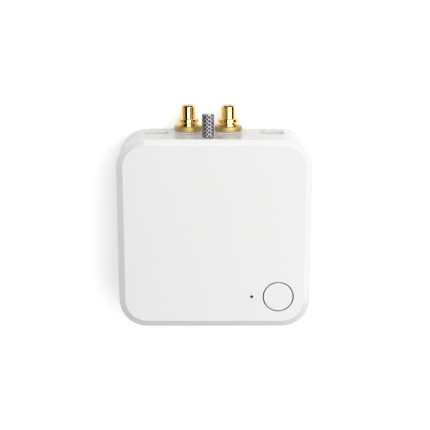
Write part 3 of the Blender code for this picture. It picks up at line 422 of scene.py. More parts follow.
@dataclass
class Form:
    """A closed mesh in the making."""

    mesh: bmesh.types.BMesh = field(default_factory=bmesh.new)

    @classmethod
    def lofted(cls, rings: Sequence[Sequence[Vector]], closed: bool = False, capped: bool = True) -> "Form":
        """Skin a row of rings that have the same number of points.

        Args:
            rings: The rings in order.
            closed: Join the last ring to the first instead of capping both ends.
            capped: Close the ends; a sheet is left open.
        Returns:
            The form, with its faces outwards.
        """
        form = cls()
        rows = [[form.mesh.verts.new(point) for point in ring] for ring in rings]
        pairs = list(zip(rows, rows[1:])) + ([(rows[-1], rows[0])] if closed else [])
        for low, high in pairs:
            for index in range(len(low)):
                form.mesh.faces.new((low[index - 1], low[index], high[index], high[index - 1]))
        if capped and not closed:
            form.mesh.faces.new(rows[0])
            form.mesh.faces.new(rows[-1])
        return form.tidied()

    @classmethod
    def turned(cls, profile: Sequence[Point], steps: int = 96, closed: bool = False,
               capped: bool = True) -> "Form":
        """Spin a profile round the Z axis.

        Args:
            profile: Radius and height of each point; an open profile starts and ends on the axis.
            steps: Faces round the axis.
            closed: The profile is a loop clear of the axis, as for a washer.
            capped: Close the ends; a sheet is left open.
        Returns:
            The form.
        """
        angles = [tau * step / steps for step in range(steps)]
        return cls.lofted([[Vector((radius * cos(angle), radius * sin(angle), height)) for angle in angles]
                           for radius, height in profile], closed, capped)

    @classmethod
    def ring(cls, inner: float, outer: float, low: float, high: float, edge: float,
             steps: int = 96) -> "Form":
        """A flat ring round the Z axis with its outer edges rounded, as a washer has."""
        return cls.turned(rounded([(inner, low, 0), (outer, low, edge), (outer, high, edge),
                                   (inner, high, 0)], closed=True), steps, closed=True)

    @classmethod
    def slab(cls, low: Sequence[float], high: Sequence[float]) -> "Form":
        """A plain block between two corners, for joining or cutting.

        Args:
            low: Its corner with the least X, Y and Z.
            high: The corner across from it.
        Returns:
            The block.
        """
        foot = ((low[0], low[1]), (high[0], low[1]), (high[0], high[1]), (low[0], high[1]))
        return cls.lofted([[Vector((x, y, z)) for x, y in foot] for z in (low[2], high[2])])

    @classmethod
    def strip(cls, size: Corner, edge: float) -> "Form":
        """A small bar round the origin with its edges broken.

        Args:
            size: Its sizes along X, Y and Z.
            edge: How much its edges lose.
        Returns:
            The bar.
        """
        half = Vector(size) / 2
        form = cls.slab(-half, half)
        bmesh.ops.bevel(form.mesh, geom=form.mesh.edges, offset=edge, segments=1, affect="EDGES")
        return form

    @classmethod
    def from_mesh(cls, mesh: bpy.types.Mesh) -> "Form":
        """A form that takes over a plain mesh.

        Args:
            mesh: The mesh, used up here.
        Returns:
            The form.
        """
        form = cls()
        form.mesh.from_mesh(mesh)
        bpy.data.meshes.remove(mesh)
        return form

    def tidied(self) -> "Form":
        """Merge what coincides and turn the faces outwards.

        Returns:
            The form itself.
        """
        bmesh.ops.remove_doubles(self.mesh, verts=self.mesh.verts, dist=MERGE)
        bmesh.ops.recalc_face_normals(self.mesh, faces=self.mesh.faces)
        return self

    def placed(self, matrix: Matrix) -> "Form":
        """Move the form to its place."""
        self.mesh.transform(matrix)
        return self

    def to_mesh(self, name: str) -> bpy.types.Mesh:
        """Write the form to a new mesh and let it go.

        Args:
            name: Name of the mesh.
        Returns:
            The mesh.
        """
        mesh = bpy.data.meshes.new(name)
        self.mesh.to_mesh(mesh)
        self.mesh.free()
        return mesh

    def carved(self, cut: Cut, tools: Iterable["Form"]) -> "Form":
        """Join tools to the form, or cut them out of it.

        Args:
            cut: Whether the tools add or remove.
            tools: Closed forms, used up here.
        Returns:
            The new form.
        """
        body = add_object("carved", self.to_mesh("carved"))
        group = bpy.data.collections.new("tools")
        for tool in tools:
            group.objects.link(bpy.data.objects.new("tool", tool.to_mesh("tool")))
        modifier = body.modifiers.new("carve", "BOOLEAN")
        modifier.operation = cut.value
        modifier.solver = "EXACT"
        modifier.operand_type = "COLLECTION"
        modifier.collection = group
        mesh = evaluated(body)
        for tool in [body, *group.objects]:
            drop(tool)
        bpy.data.collections.remove(group)
        return Form.from_mesh(mesh)


def add_object(name: str, mesh: bpy.types.Mesh) -> bpy.types.Object:
    """Put a mesh in the scene as an object at the origin.

    Args:
        name: Name of the object.
        mesh: Its mesh.
    Returns:
        The object.
    """
    made = bpy.data.objects.new(name, mesh)
    bpy.context.scene.collection.objects.link(made)
    return made


def evaluated(thing: bpy.types.Object) -> bpy.types.Mesh:
    """The plain mesh that an object's modifiers leave.

    Args:
        thing: The object.
    Returns:
        A new mesh.
    """
    graph = bpy.context.evaluated_depsgraph_get()
    return bpy.data.meshes.new_from_object(thing.evaluated_get(graph), preserve_all_data_layers=True,
                                           depsgraph=graph)


def drop(thing: bpy.types.Object) -> None:
    """Remove an object and its mesh.

    Args:
        thing: The object.
    """
    mesh = thing.data
    bpy.data.objects.remove(thing)
    bpy.data.meshes.remove(mesh)


def add_piece(name: str, form: Form, finish: Finish, body: Body, stands_for: Sequence[str] = ()) -> None:
    """Turn a form into a finished piece that rides on its body.

    Args:
        name: Name of the piece.
        form: Its closed form, in place.
        finish: Its material.
        body: The body that carries it.
        stands_for: The solids that it takes the place of.
    """
    rough = add_object(name, form.to_mesh(name))
    rough.data.shade_smooth()
    rough.data.set_sharp_from_angle(angle=SHARP)
    weighted = rough.modifiers.new("even shading", "WEIGHTED_NORMAL")
    weighted.keep_sharp = True
    mesh = evaluated(rough)
    drop(rough)
    mesh.name = name
    mesh.materials.clear()
    mesh.materials.append(finish.material())
    piece = add_object(name, mesh)
    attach(piece, body.value)
    if stands_for:
        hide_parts(*stands_for)
    LOG.info("%s: %d faces, %s, on %s", name, len(mesh.polygons), finish.name, body.value)


def dress(finish: Finish, nodes: Iterable[str]) -> None:
    """Give solids that stay as they are their finish.

    Args:
        finish: Their material.
        nodes: Names of the solids.
    """
    for node in nodes:
        solid = frame["nodes"][node]
        for holder in solid.material_slots:
            holder.material = finish.material()
        LOG.info("%s: solid kept, %s", node, finish.name)


def four(kind: str) -> list[str]:
    """Names of the four solids of one kind."""
    return [f"{kind}_{number}" for number in range(1, 5)]


def middle(node: str) -> Vector:
    """The middle of a solid's box."""
    low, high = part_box(node)
    return (low + high) / 2


def upright(node: str) -> Matrix:
    """The matrix that stands a piece on the ground below a solid's middle."""
    return Facing.UP.at((*middle(node).xy, 0))


def spaced(centre: float, pitch: float, count: int) -> list[float]:
    """Places in an even row round its centre."""
    return [centre + (index - (count - 1) / 2) * pitch for index in range(count)]


class Rule:
    """A Geometry Nodes tree that runs once on a form and leaves a plain mesh."""

    def __init__(self, name: str, inputs: dict[str, str]) -> None:
        """Start a tree.

        Args:
            name: Name of the tree.
            inputs: Socket type of each named input besides the geometry and the material.
        """
        self.tree = bpy.data.node_groups.new(name, "GeometryNodeTree")
        kinds = {"Geometry": "NodeSocketGeometry", **inputs, "Material": "NodeSocketMaterial"}
        for socket, kind in kinds.items():
            self.tree.interface.new_socket(socket, in_out="INPUT", socket_type=kind)
        self.tree.interface.new_socket("Geometry", in_out="OUTPUT", socket_type="NodeSocketGeometry")
        self.given = add_node(self.tree, "NodeGroupInput").outputs

    def close(self, geometry: bpy.types.NodeSocket) -> None:
        """End the tree with real faces that carry the material.

        Args:
            geometry: What the tree has made.
        """
        real = add_node(self.tree, "GeometryNodeRealizeInstances", {"Geometry": geometry})
        dressed = add_node(self.tree, "GeometryNodeSetMaterial",
                           {"Geometry": real.outputs[0], "Material": self.given["Material"]})
        add_node(self.tree, "NodeGroupOutput", {"Geometry": dressed.outputs[0]})

    def run(self, base: Form, finish: Finish, values: dict) -> Form:
        """Run the tree on a form.

        Args:
            base: The form that goes in, used up here.
            finish: The material set on the result.
            values: Value of each named input.
        Returns:
            The result as a plain form.
        """
        carrier = add_object(self.tree.name, base.to_mesh(self.tree.name))
        modifier = carrier.modifiers.new(self.tree.name, "NODES")
        modifier.node_group = self.tree
        values = {**values, "Material": finish.material()}
        for item in self.tree.interface.items_tree:
            if item.in_out == "INPUT" and item.name in values:
                modifier[item.identifier] = values[item.name]
        mesh = evaluated(carrier)
        drop(carrier)
        return Form.from_mesh(mesh)


class KnurlRule(Rule):
    """Rolls grooves into the outer side of a piece turned round Z.

    Two sets of triangular waves cross at the lead given; where the lead is 0 they agree, and the
    grooves run straight along the axis as reeds.
    """

    def __init__(self) -> None:
        """Build the tree."""
        sizes = ("Lead", "Depth", "Rim", "Low", "High")
        super().__init__("knurl", {"Count": "NodeSocketInt", **dict.fromkeys(sizes, "NodeSocketFloat")})
        place = add_node(self.tree, "GeometryNodeInputPosition").outputs[0]
        x, y, z = add_node(self.tree, "ShaderNodeSeparateXYZ", {0: place}).outputs
        flat = add_node(self.tree, "ShaderNodeCombineXYZ", {0: x, 1: y}).outputs[0]
        radius = add_node(self.tree, "ShaderNodeVectorMath", {0: flat}, operation="LENGTH").outputs["Value"]
        outward = add_node(self.tree, "ShaderNodeVectorMath", {0: flat}, operation="NORMALIZE").outputs[0]
        known = {name: self.given[name] for name in ("Count", *sizes)}
        known.update(x=x, y=y, z=z, radius=radius)
        for name, operation, *terms in (
                ("angle", "ARCTAN2", "y", "x"),
                ("waves", "DIVIDE", "Count", pi),
                ("turn", "MULTIPLY", "angle", "waves"),
                ("climb", "MULTIPLY", "z", "Lead"),
                ("left path", "ADD", "turn", "climb"),
                ("right path", "SUBTRACT", "turn", "climb"),
                ("left wave", "PINGPONG", "left path", 1.0),
                ("right wave", "PINGPONG", "right path", 1.0),
                ("crest", "MINIMUM", "left wave", "right wave"),
                ("valley", "SUBTRACT", 1.0, "crest"),
                ("outside", "GREATER_THAN", "radius", "Rim"),
                ("above", "GREATER_THAN", "z", "Low"),
                ("below", "LESS_THAN", "z", "High"),
                ("between", "MULTIPLY", "above", "below"),
                ("side", "MULTIPLY", "outside", "between"),
                ("groove", "MULTIPLY", "valley", "side"),
                ("depth", "MULTIPLY", "groove", "Depth"),
                ("fall", "MULTIPLY", "depth", -1.0)):
            feeds = {number: known.get(term, term) for number, term in enumerate(terms)}
            known[name] = add_node(self.tree, "ShaderNodeMath", feeds, operation=operation).outputs[0]
        offset = add_node(self.tree, "ShaderNodeVectorMath", {0: outward, "Scale": known["fall"]},
                          operation="SCALE")
        marked = add_node(self.tree, "GeometryNodeStoreNamedAttribute", {
            "Geometry": self.given["Geometry"], "Name": "groove", "Value": known["groove"]})
        rolled = add_node(self.tree, "GeometryNodeSetPosition", {
            "Geometry": marked.outputs[0], "Offset": offset.outputs[0]})
        self.close(rolled.outputs[0])


class CopyRule(Rule):
    """Sets copies of one form on the points of another, such as leads, contacts and screws."""

    def __init__(self) -> None:
        """Build the tree."""
        super().__init__("copies", {"Copy": "NodeSocketObject"})
        source = add_node(self.tree, "GeometryNodeObjectInfo", {"Object": self.given["Copy"]})
        copies = add_node(self.tree, "GeometryNodeInstanceOnPoints", {
            "Points": self.given["Geometry"], "Instance": source.outputs["Geometry"]})
        self.close(copies.outputs[0])

    def spread(self, copy: Form, places: Iterable[Sequence[float]], finish: Finish) -> Form:
        """Set a form at several places.

        Args:
            copy: The form, round the origin.
            places: Where its copies go.
            finish: Their material.
        Returns:
            All the copies as one form.
        """
        points = Form()
        for place in places:
            points.mesh.verts.new(place)
        pattern = add_object("copy", copy.to_mesh("copy"))
        result = self.run(points, finish, {"Copy": pattern})
        drop(pattern)
        return result


@dataclass
class Case:
    """The glossy cover: face, bevel and four walls in one moulding, with its pockets and holes."""

    width: float = 110 * MM
    corner: float = 16.5 * MM           # a little tighter than the solid's, as the photograph has it
    foot: float = 1 * MM
    top: float = 36 * MM
    draft: float = 0.5 * MM
    bevel_width: float = 3.5 * MM
    bevel_drop: float = 1.2 * MM
    wall: float = 2.5 * MM
    rabbet: float = 1.0 * MM
    ledge: float = 3.7 * MM
    face_edge: float = 0.7 * MM         # rounding where the bevel meets the face
    wall_edge: float = 0.35 * MM        # rounding where the bevel meets a wall
    foot_edge: float = 0.25 * MM
    hole_edge: float = 0.14 * MM
    lamp_edge: float = 0.10 * MM
    pocket_edge: float = 0.85 * MM
    pocket_size: Corner = (12.6 * MM, 10.6 * MM, 1.4 * MM)      # inside its rounded mouth
    pocket_depth: float = 1.8 * MM
    pocket_floor: float = 1.5 * MM
    pocket_wall: float = 1.2 * MM
    boss_radius: float = 3.2 * MM
    boss_bottom: float = 5.9 * MM
    boss_rib: float = 1.4 * MM
    pilot: Point = (1.8 * MM, 10.0 * MM)    # radius and depth of the hole that a case screw bites in
    guide_depth: float = 5.0 * MM
    guide_wall: float = 1.6 * MM
    ground_boss: Point = (5.0 * MM, 6.0 * MM)
    corner_steps: int = 28
    edge_steps: int = 6

    @property
    def ceiling(self) -> float:
        """Height of the face's underside."""
        return self.top - self.wall

    def outline(self, inset: float, height: float) -> list[Vector]:
        """The case's outline at one height, drawn in by an inset."""
        side = self.width - 2 * inset
        return oblong(side, side, self.corner - inset, height, self.corner_steps)

    def wall_face(self, height: float) -> float:
        """Y of the connector wall's outer face at a height."""
        share = (height - self.foot) / (self.top - self.bevel_drop - self.foot)
        return self.width / 2 - self.draft * share

    def skin(self) -> Form:
        """The bare cover, from the face out over the bevel, down the wall and up inside it.

        Returns:
            The cover without bosses and holes.
        """
        inset = self.draft + self.bevel_width
        rabbet = self.wall - self.rabbet
        path = rounded([
            (inset + 2 * self.face_edge, self.top, 0), (inset, self.top, self.face_edge),
            (self.draft, self.top - self.bevel_drop, self.wall_edge), (0, self.foot, self.foot_edge),
            (rabbet, self.foot, self.foot_edge / 2), (rabbet, self.ledge, 0), (self.wall, self.ledge, 0),
            (self.wall + self.draft, self.ceiling - self.bevel_drop, 0), (self.wall + inset, self.ceiling, 0),
        ], steps=self.edge_steps)
        return Form.lofted([self.outline(across, along) for across, along in path])

    def sheet(self, inset: float, low: float, high: float, low_edge: float, high_edge: float) -> Form:
        """A flat sheet with the case's outline.

        Args:
            inset: How far its outline is drawn in.
            low: Its underside.
            high: Its upper side.
            low_edge: Rounding of its lower rim.
            high_edge: Rounding of its upper rim.
        Returns:
            The sheet in place.
        """
        flat = inset + 2 * low_edge
        path = rounded([(flat, low, 0), (inset, low, low_edge), (inset, high, high_edge), (flat, high, 0)])
        return Form.lofted([self.outline(across, along) for across, along in path])

    def bosses(self, button: "PushButton", lamp: "Indicator", ground: "GroundTerminal") -> list[Form]:
        """What stands inside the cover.

        Args:
            button: Gives the guide its place.
            lamp: Gives the light pipe's boss its place.
            ground: Gives the stud's boss its place.
        Returns:
            Forms to join to the cover.
        """
        tools = rods(self.boss_radius, self.boss_bottom, self.ceiling + ROOT, "case_screw")
        for screw in four("case_screw"):
            x, y, _ = middle(screw)
            wall = (self.width / 2 - self.wall - self.draft + ROOT) * (1 if x > 0 else -1)
            tools.append(Form.slab((min(x, wall), y - self.boss_rib / 2, self.boss_bottom),
                                   (max(x, wall), y + self.boss_rib / 2, self.ceiling)))
        guide = rod(button.hole + self.guide_wall, self.ceiling - self.guide_depth, self.ceiling + ROOT,
                    button.matrix)
        pipe = rod(self.boss_radius, self.ceiling - lamp.boss, self.ceiling + ROOT, lamp.matrix)
        radius, length = self.ground_boss
        inner = self.wall_face(ground.place.z) - self.wall
        stud = rod(radius, -length, ROOT, Facing.OUT.at((ground.place.x, inner, ground.place.z)))
        return [*tools, guide, pipe, stud]

    def pockets(self, ports: Sequence["Port"]) -> tuple[list[Form], list[Form]]:
        """The boxes behind the two pockets, and the pockets themselves.

        Args:
            ports: What shows in each pocket, with its slot.
        Returns:
            Forms to join to the cover, and forms to cut out of it.
        """
        joins, cuts = [], []
        width, height, radius = self.pocket_size
        for port in ports:
            x, level = port.pocket
            floor = self.wall_face(level) - self.pocket_depth
            half = Vector((width / 2 + self.pocket_wall, 0, height / 2 + self.pocket_wall))
            root = self.wall_face(level + half.z) - self.wall + ROOT
            joins.append(Form.slab(Vector((x, floor - self.pocket_floor, level)) - half,
                                   Vector((x, root, level)) + half))
            lean = Matrix.Rotation(atan2(self.draft, self.top - self.bevel_drop - self.foot), 4, "X")
            path = [(0, 0), *flared(0, self.pocket_depth, self.pocket_edge)]
            mouth = Form.lofted([oblong(width + 2 * grow, height + 2 * grow, radius + grow, along)
                                 for grow, along in path])
            cuts.append(mouth.placed(lean @ Facing.OUT.at((0, -self.pocket_depth, 0))).placed(
                Matrix.Translation((x, self.wall_face(level), level))))
            cuts.append(port.slot_cutter(floor - self.pocket_floor - OVERCUT, floor + OVERCUT))
        return joins, cuts

    def build(self, jacks: Sequence["Jack"], ground: "GroundTerminal", button: "PushButton",
              lamp: "Indicator", ports: Sequence["Port"]) -> None:
        """Make the cover with all its openings.

        Args:
            jacks: The two phono jacks in the connector wall.
            ground: The ground terminal between them.
            button: The push button in the face.
            lamp: The indicator beside it.
            ports: What the two pockets hold.
        """
        low = self.ceiling - self.guide_depth - OVERCUT
        pilot, depth = self.pilot
        holes = [
            hole(button.hole, low, self.top, self.hole_edge).placed(button.matrix),
            hole(lamp.hole, low, self.top, self.lamp_edge, COARSE).placed(lamp.matrix),
            rod(lamp.pipe + FIT, low - OVERCUT, self.ceiling, lamp.matrix),
            rod(ground.stud + FIT, -3 * self.wall, OVERCUT, ground.matrix),
            *(rod(jack.shank + FIT, -2 * self.wall, self.wall, jack.matrix) for jack in jacks),
            *rods(pilot, self.boss_bottom - OVERCUT, self.boss_bottom + depth, "case_screw", COARSE),
        ]
        joins, cuts = self.pockets(ports)
        form = self.skin().carved(Cut.JOIN, [*self.bosses(button, lamp, ground), *joins])
        form = form.carved(Cut.REMOVE, [*holes, *cuts])
        add_piece("case_cover", form, GLOSS_ABS, Body.CASE, ["top_shell"])


def rod(radius: float, low: float, high: float, matrix: Matrix, steps: int = 64) -> Form:
    """A plain round bar in place, for joining or cutting."""
    return Form.turned([(0, low), (radius, low), (radius, high), (0, high)], steps).placed(matrix)


def rods(radius: float, low: float, high: float, kind: str, steps: int = 64) -> list[Form]:
    """A plain round bar on the axis of each of four solids, such as screws."""
    return [rod(radius, low, high, upright(node), steps) for node in four(kind)]


def hole(radius: float, low: float, level: float, edge: float, steps: int = 96) -> Form:
    """The cutter of a round hole whose rim is rounded at the level of the surface."""
    side = flared(radius, level, edge)
    return Form.turned([(0, low), (radius, low), *side, (0, side[-1][1])], steps)


@dataclass
class Base:
    """The plate that closes the case from below, its screws and the rubber pad that it stands on."""

    thickness: float = 2.4 * MM
    edge: float = 0.3 * MM
    recess: float = 1.0 * MM            # how deep the pad lies in the plate
    pedestal: float = 4.5 * MM
    head: float = 2.7 * MM
    shank: float = 1.5 * MM
    roof: float = 1.6 * MM              # plastic between a screw's head and the boss above it
    post: float = 3.0 * MM
    post_pilot: float = 1.3 * MM
    pad_edge: float = 0.5 * MM
    pad_inset: float = 3.5 * MM

    def plate(self, case: Case) -> Form:
        """The plate with its screw pedestals, board posts and the recess for the pad.

        Args:
            case: Gives the plate its outline.
        Returns:
            The plate in place.
        """
        low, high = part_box("base_plate")
        top = low.z + self.thickness
        inset = case.wall - case.rabbet + FIT
        form = case.sheet(inset, low.z, top, self.edge, self.edge)
        pedestal_top = case.boss_bottom - FIT
        form = form.carved(Cut.JOIN, [
            *rods(self.pedestal, top - ROOT, pedestal_top, "case_screw"),
            *rods(self.post, top - ROOT, high.z, "board_screw")])
        hollow = self.pad_inset - FIT
        levels = (low.z - OVERCUT, low.z + self.recess)
        return form.carved(Cut.REMOVE, [
            Form.lofted([case.outline(hollow, level) for level in levels]),
            *rods(self.head + FIT, low.z, pedestal_top - self.roof, "case_screw"),
            *rods(self.shank + FIT, low.z, pedestal_top + OVERCUT, "case_screw", COARSE),
            *rods(self.post_pilot, top - ROOT, high.z + OVERCUT, "board_screw", COARSE)])

    def build(self, case: Case) -> None:
        """Make the plate and the pad, and dress the screws.

        Args:
            case: Gives both their outline.
        """
        add_piece("closing_plate", self.plate(case), SATIN_ABS, Body.CASE, ["base_plate"])
        low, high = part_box("foot_pad")
        pad = case.sheet(self.pad_inset, low.z, high.z, self.pad_edge, self.pad_edge / 3)
        add_piece("stand_pad", pad, RUBBER, Body.CASE, ["foot_pad"])
        dress(ZINC_STEEL, four("case_screw"))


@dataclass
class Jack:
    """A gold phono jack: polished barrel and grooved collar, reeded flange, washer, core and contact."""

    name: str
    shank: float = 4.7 * MM
    washer: float = 0.3 * MM
    washer_shy: float = 0.1 * MM        # how far the washer's rim lies inside the flange's
    flange: float = 7.8 * MM
    flange_depth: float = 3.1 * MM
    flange_edge: float = 0.35 * MM
    reeds: int = 96
    reed_depth: float = 0.07 * MM
    reed_share: float = 0.7             # how much of the flange's rounded edges the reeds run over
    collar: float = 6.05 * MM
    collar_steps: Corner = (1.05 * MM, 1.2 * MM, 1.75 * MM)
    collar_edge: float = 0.3 * MM
    groove: float = 4.95 * MM
    barrel: float = 4.15 * MM
    bore: float = 3.4 * MM
    mouth: Point = (0.42 * MM, 0.70 * MM)   # how far the barrel's end tapers in, and over what length
    lip: float = 0.15 * MM
    core_recess: float = 0.2 * MM
    contact_bore: float = 1.6 * MM
    contact_wall: float = 0.4 * MM
    contact_recess: float = 0.6 * MM
    contact_depth: float = 9.0 * MM
    contact_steps: int = 64
    pin: float = 0.8 * MM
    slot: float = 0.4 * MM
    slot_depth: float = 4.0 * MM
    place: Vector = field(init=False)
    matrix: Matrix = field(init=False)
    back: float = field(init=False)
    end: float = field(init=False)

    def __post_init__(self) -> None:
        """Take the axis, the seat and both ends from the solids."""
        low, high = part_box(f"{self.name}_shell")
        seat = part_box(f"{self.name}_washer")[0].y - STACK
        axis = middle(f"{self.name}_shell")
        self.place = Vector((axis.x, seat, axis.z))
        self.matrix = Facing.OUT.at(self.place)
        self.back, self.end = low.y - seat, high.y - seat

    def body(self) -> Form:
        """The polished body: shank, collar with its groove, and barrel.

        Returns:
            The body as a ring round its bore.
        """
        flange_top = 2 * STACK + self.washer + self.flange_depth
        lower, groove, upper = self.collar_steps
        groove_low = flange_top + lower
        groove_high = groove_low + groove
        collar_top = groove_high + upper
        edge = self.collar_edge
        seat = flange_top + HAIR
        return Form.turned(rounded([
            (self.bore, self.back, 0), (self.shank, self.back, edge), (self.shank, seat, 0),
            (self.collar, seat, edge / 3), (self.collar, groove_low, edge / 2),
            (self.groove, groove_low, edge / 2), (self.groove, groove_high, edge / 2),
            (self.collar, groove_high, edge / 2), (self.collar, collar_top, edge),
            (self.barrel, collar_top, edge), (self.barrel, self.end - self.mouth[1], 2 * self.lip),
            (self.barrel - self.mouth[0], self.end, self.lip), (self.bore, self.end, self.lip / 2),
        ], closed=True), FINE, closed=True)

    def rim(self, knurl: KnurlRule) -> Form:
        """The reeded flange.

        Args:
            knurl: Cuts the reeds.
        Returns:
            The flange as a ring round the shank.
        """
        low = 2 * STACK + self.washer
        high = low + self.flange_depth
        ring = Form.ring(self.shank + 2 * HAIR, self.flange, low, high, self.flange_edge, 4 * self.reeds)
        return knurl.run(ring, REEDED_GOLD, {
            "Count": self.reeds, "Lead": 0.0, "Depth": self.reed_depth,
            "Rim": self.flange - self.reed_share * self.flange_edge, "Low": low, "High": high})

    def seat_washer(self) -> Form:
        """The insulating washer between the flange and the wall."""
        return Form.ring(self.shank + FIT, self.flange - self.washer_shy, HAIR,
                         2 * STACK + self.washer - HAIR, self.washer / 4, FINE)

    def core(self) -> Form:
        """The insulator that holds the contact in the barrel.

        Returns:
            The insulator as a ring.
        """
        inner, outer = self.contact_bore + self.contact_wall + STACK, self.bore - STACK
        mouth = self.end - self.core_recess
        return Form.turned(rounded([(inner, self.back, 0), (outer, self.back, 0), (outer, mouth, STACK),
                                    (inner, mouth, STACK)], closed=True), closed=True)

    def contact(self) -> Form:
        """The slotted centre contact, with its pin to the board.

        Returns:
            The contact on its axis.
        """
        mouth = self.end - self.contact_recess
        outer = self.contact_bore + self.contact_wall
        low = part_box(f"{self.name}_contact")[0].y - self.place.y
        pin_start = self.back - STACK
        form = Form.turned(rounded([
            (0, low, 0), (self.pin, low, self.pin / 3), (self.pin, pin_start, 0), (outer, pin_start, 0),
            (outer, mouth, self.contact_wall / 3), (self.contact_bore, mouth, self.contact_wall / 2),
            (self.contact_bore, mouth - self.contact_depth, 0), (0, mouth - self.contact_depth, 0),
        ]), self.contact_steps)
        low, high = mouth - self.slot_depth, mouth + OVERCUT
        reach, half = 2 * outer, self.slot / 2
        return form.carved(Cut.REMOVE, [Form.slab((-x, -y, low), (x, y, high))
                                        for x, y in ((reach, half), (half, reach))])

    def build(self, knurl: KnurlRule) -> None:
        """Make the jack's pieces that show and dress the rest.

        Args:
            knurl: Cuts the flange's reeds.
        """
        for part, form, finish, solid in (
                ("barrel", self.body(), POLISHED_GOLD, "shell"),
                ("flange", self.rim(knurl), REEDED_GOLD, "shell"),
                ("seat_washer", self.seat_washer(), NYLON, "washer"),
                ("core", self.core(), NYLON, "insulator"),
                ("spring_contact", self.contact(), POLISHED_GOLD, "contact")):
            add_piece(f"{self.name}_{part}", form.placed(self.matrix), finish, Body.CASE,
                      [f"{self.name}_{solid}"])
        for finish, solid in ((NYLON, "bush"), (TINNED_BRASS, "tag"), (REEDED_GOLD, "nut")):
            dress(finish, [f"{self.name}_{solid}"])


@dataclass
class GroundTerminal:
    """The ground post: a diamond-knurled thumb nut and its washer on a stud through the wall."""

    nut: float = 3.5 * MM
    edge: float = 0.3 * MM
    bore: float = 2.3 * MM
    blind_end: float = 2.0 * MM
    stud: float = 2.0 * MM
    washer: float = 2.75 * MM           # lies in the nut's hollow foot
    diamonds: int = 14                  # coarser than the real net, which is too fine to show
    diamond_height: float = 2.1 * MM
    knurl_depth: float = 0.26 * MM
    columns: int = 12                   # faces across one diamond
    place: Vector = field(init=False)
    matrix: Matrix = field(init=False)

    def __post_init__(self) -> None:
        """Take the axis and the seat from the solids."""
        axis = middle("ground_stud")
        self.place = Vector((axis.x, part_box("ground_washer")[0].y - STACK, axis.z))
        self.matrix = Facing.OUT.at(self.place)

    def thumb_nut(self, knurl: KnurlRule) -> Form:
        """The nut with its rolled net of diamonds.

        Args:
            knurl: Rolls the net.
        Returns:
            The blind nut on its axis.
        """
        low, high = (corner.y - self.place.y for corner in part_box("ground_thumb_nut"))
        side_low, side_high = low + self.edge, high - self.edge
        rows = round((side_high - side_low) / self.diamond_height * self.columns)
        side = [(self.nut, side_low + (side_high - side_low) * row / rows) for row in range(rows + 1)]
        bore_end = high - self.blind_end
        room = self.washer + STACK
        room_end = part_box("ground_washer")[1].y - self.place.y + STACK
        foot = rounded([(room, low, 0), (self.nut - self.edge, low, self.edge / 3), (self.nut, side_low, 0)])
        crown = rounded([(self.nut, side_high, 0), (self.nut - self.edge, high, self.edge / 2), (0, high, 0)])
        inside = [(0, bore_end), (self.bore, bore_end), (self.bore, room_end), (room, room_end)]
        form = Form.turned([*inside, *foot[:-1], *side, *crown[1:]], self.diamonds * self.columns)
        return knurl.run(form, KNURLED_NICKEL, {
            "Count": self.diamonds, "Lead": 2 / self.diamond_height, "Depth": self.knurl_depth,
            "Rim": self.nut - self.edge / 4, "Low": side_low - 2 * HAIR, "High": side_high + 2 * HAIR})

    def build(self, knurl: KnurlRule) -> None:
        """Make the nut and its washer, and dress what holds the stud inside.

        Args:
            knurl: Rolls the nut's net.
        """
        add_piece("ground_knurled_nut", self.thumb_nut(knurl).placed(self.matrix), KNURLED_NICKEL,
                  Body.THUMB_NUT, ["ground_thumb_nut"])
        low, high = (corner.y - self.place.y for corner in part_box("ground_washer"))
        ring = Form.ring(self.bore, self.washer, low, high, (high - low) / 4)
        add_piece("ground_carried_washer", ring.placed(self.matrix), KNURLED_NICKEL, Body.CARRIER,
                  ["ground_washer"])
        dress(ZINC_STEEL, ["ground_stud", "ground_nut"])
        dress(TINNED_BRASS, ["ground_strap"])


@dataclass
class PushButton:
    """The round button in the face and the switch below it."""

    hole: float = 8.85 * MM
    gap: float = 0.62 * MM
    edge: float = 0.2 * MM
    disc: float = 2.2 * MM
    skirt: float = 1.6 * MM
    flange: float = 1.2 * MM
    stem: float = 2.2 * MM
    rib: float = 1.2 * MM
    edge_steps: int = 6
    matrix: Matrix = field(init=False)

    def __post_init__(self) -> None:
        """Take the axis from the solid."""
        self.matrix = upright("button_cap")

    def build(self) -> None:
        """Make the cap and dress the switch."""
        low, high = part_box("button_cap")
        radius = self.hole - self.gap
        flange_top = low.z + self.flange
        hollow = radius - self.skirt
        disc = high.z - self.disc
        stem_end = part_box("switch_plunger")[1].z + STACK
        cap = Form.turned(rounded([
            (0, high.z, 0), (radius, high.z, self.edge), (radius, flange_top, 0),
            (self.hole + self.flange, flange_top, STACK), (self.hole + self.flange, low.z, STACK),
            (hollow, low.z, 0), (hollow, disc, 0), (self.stem, disc, 0), (self.stem, stem_end, STACK),
            (0, stem_end, 0)], steps=self.edge_steps), FINE)
        reach, half = hollow + self.skirt / 2, self.rib / 2
        cap = cap.carved(Cut.JOIN, [Form.slab((-x, -y, flange_top), (x, y, disc + ROOT))
                                    for x, y in ((reach, half), (half, reach))])
        add_piece("button_disc", cap.placed(self.matrix), GLOSS_ABS, Body.BUTTON, ["button_cap"])
        dress(BLACK_NYLON, ["switch_plunger", "switch_body"])


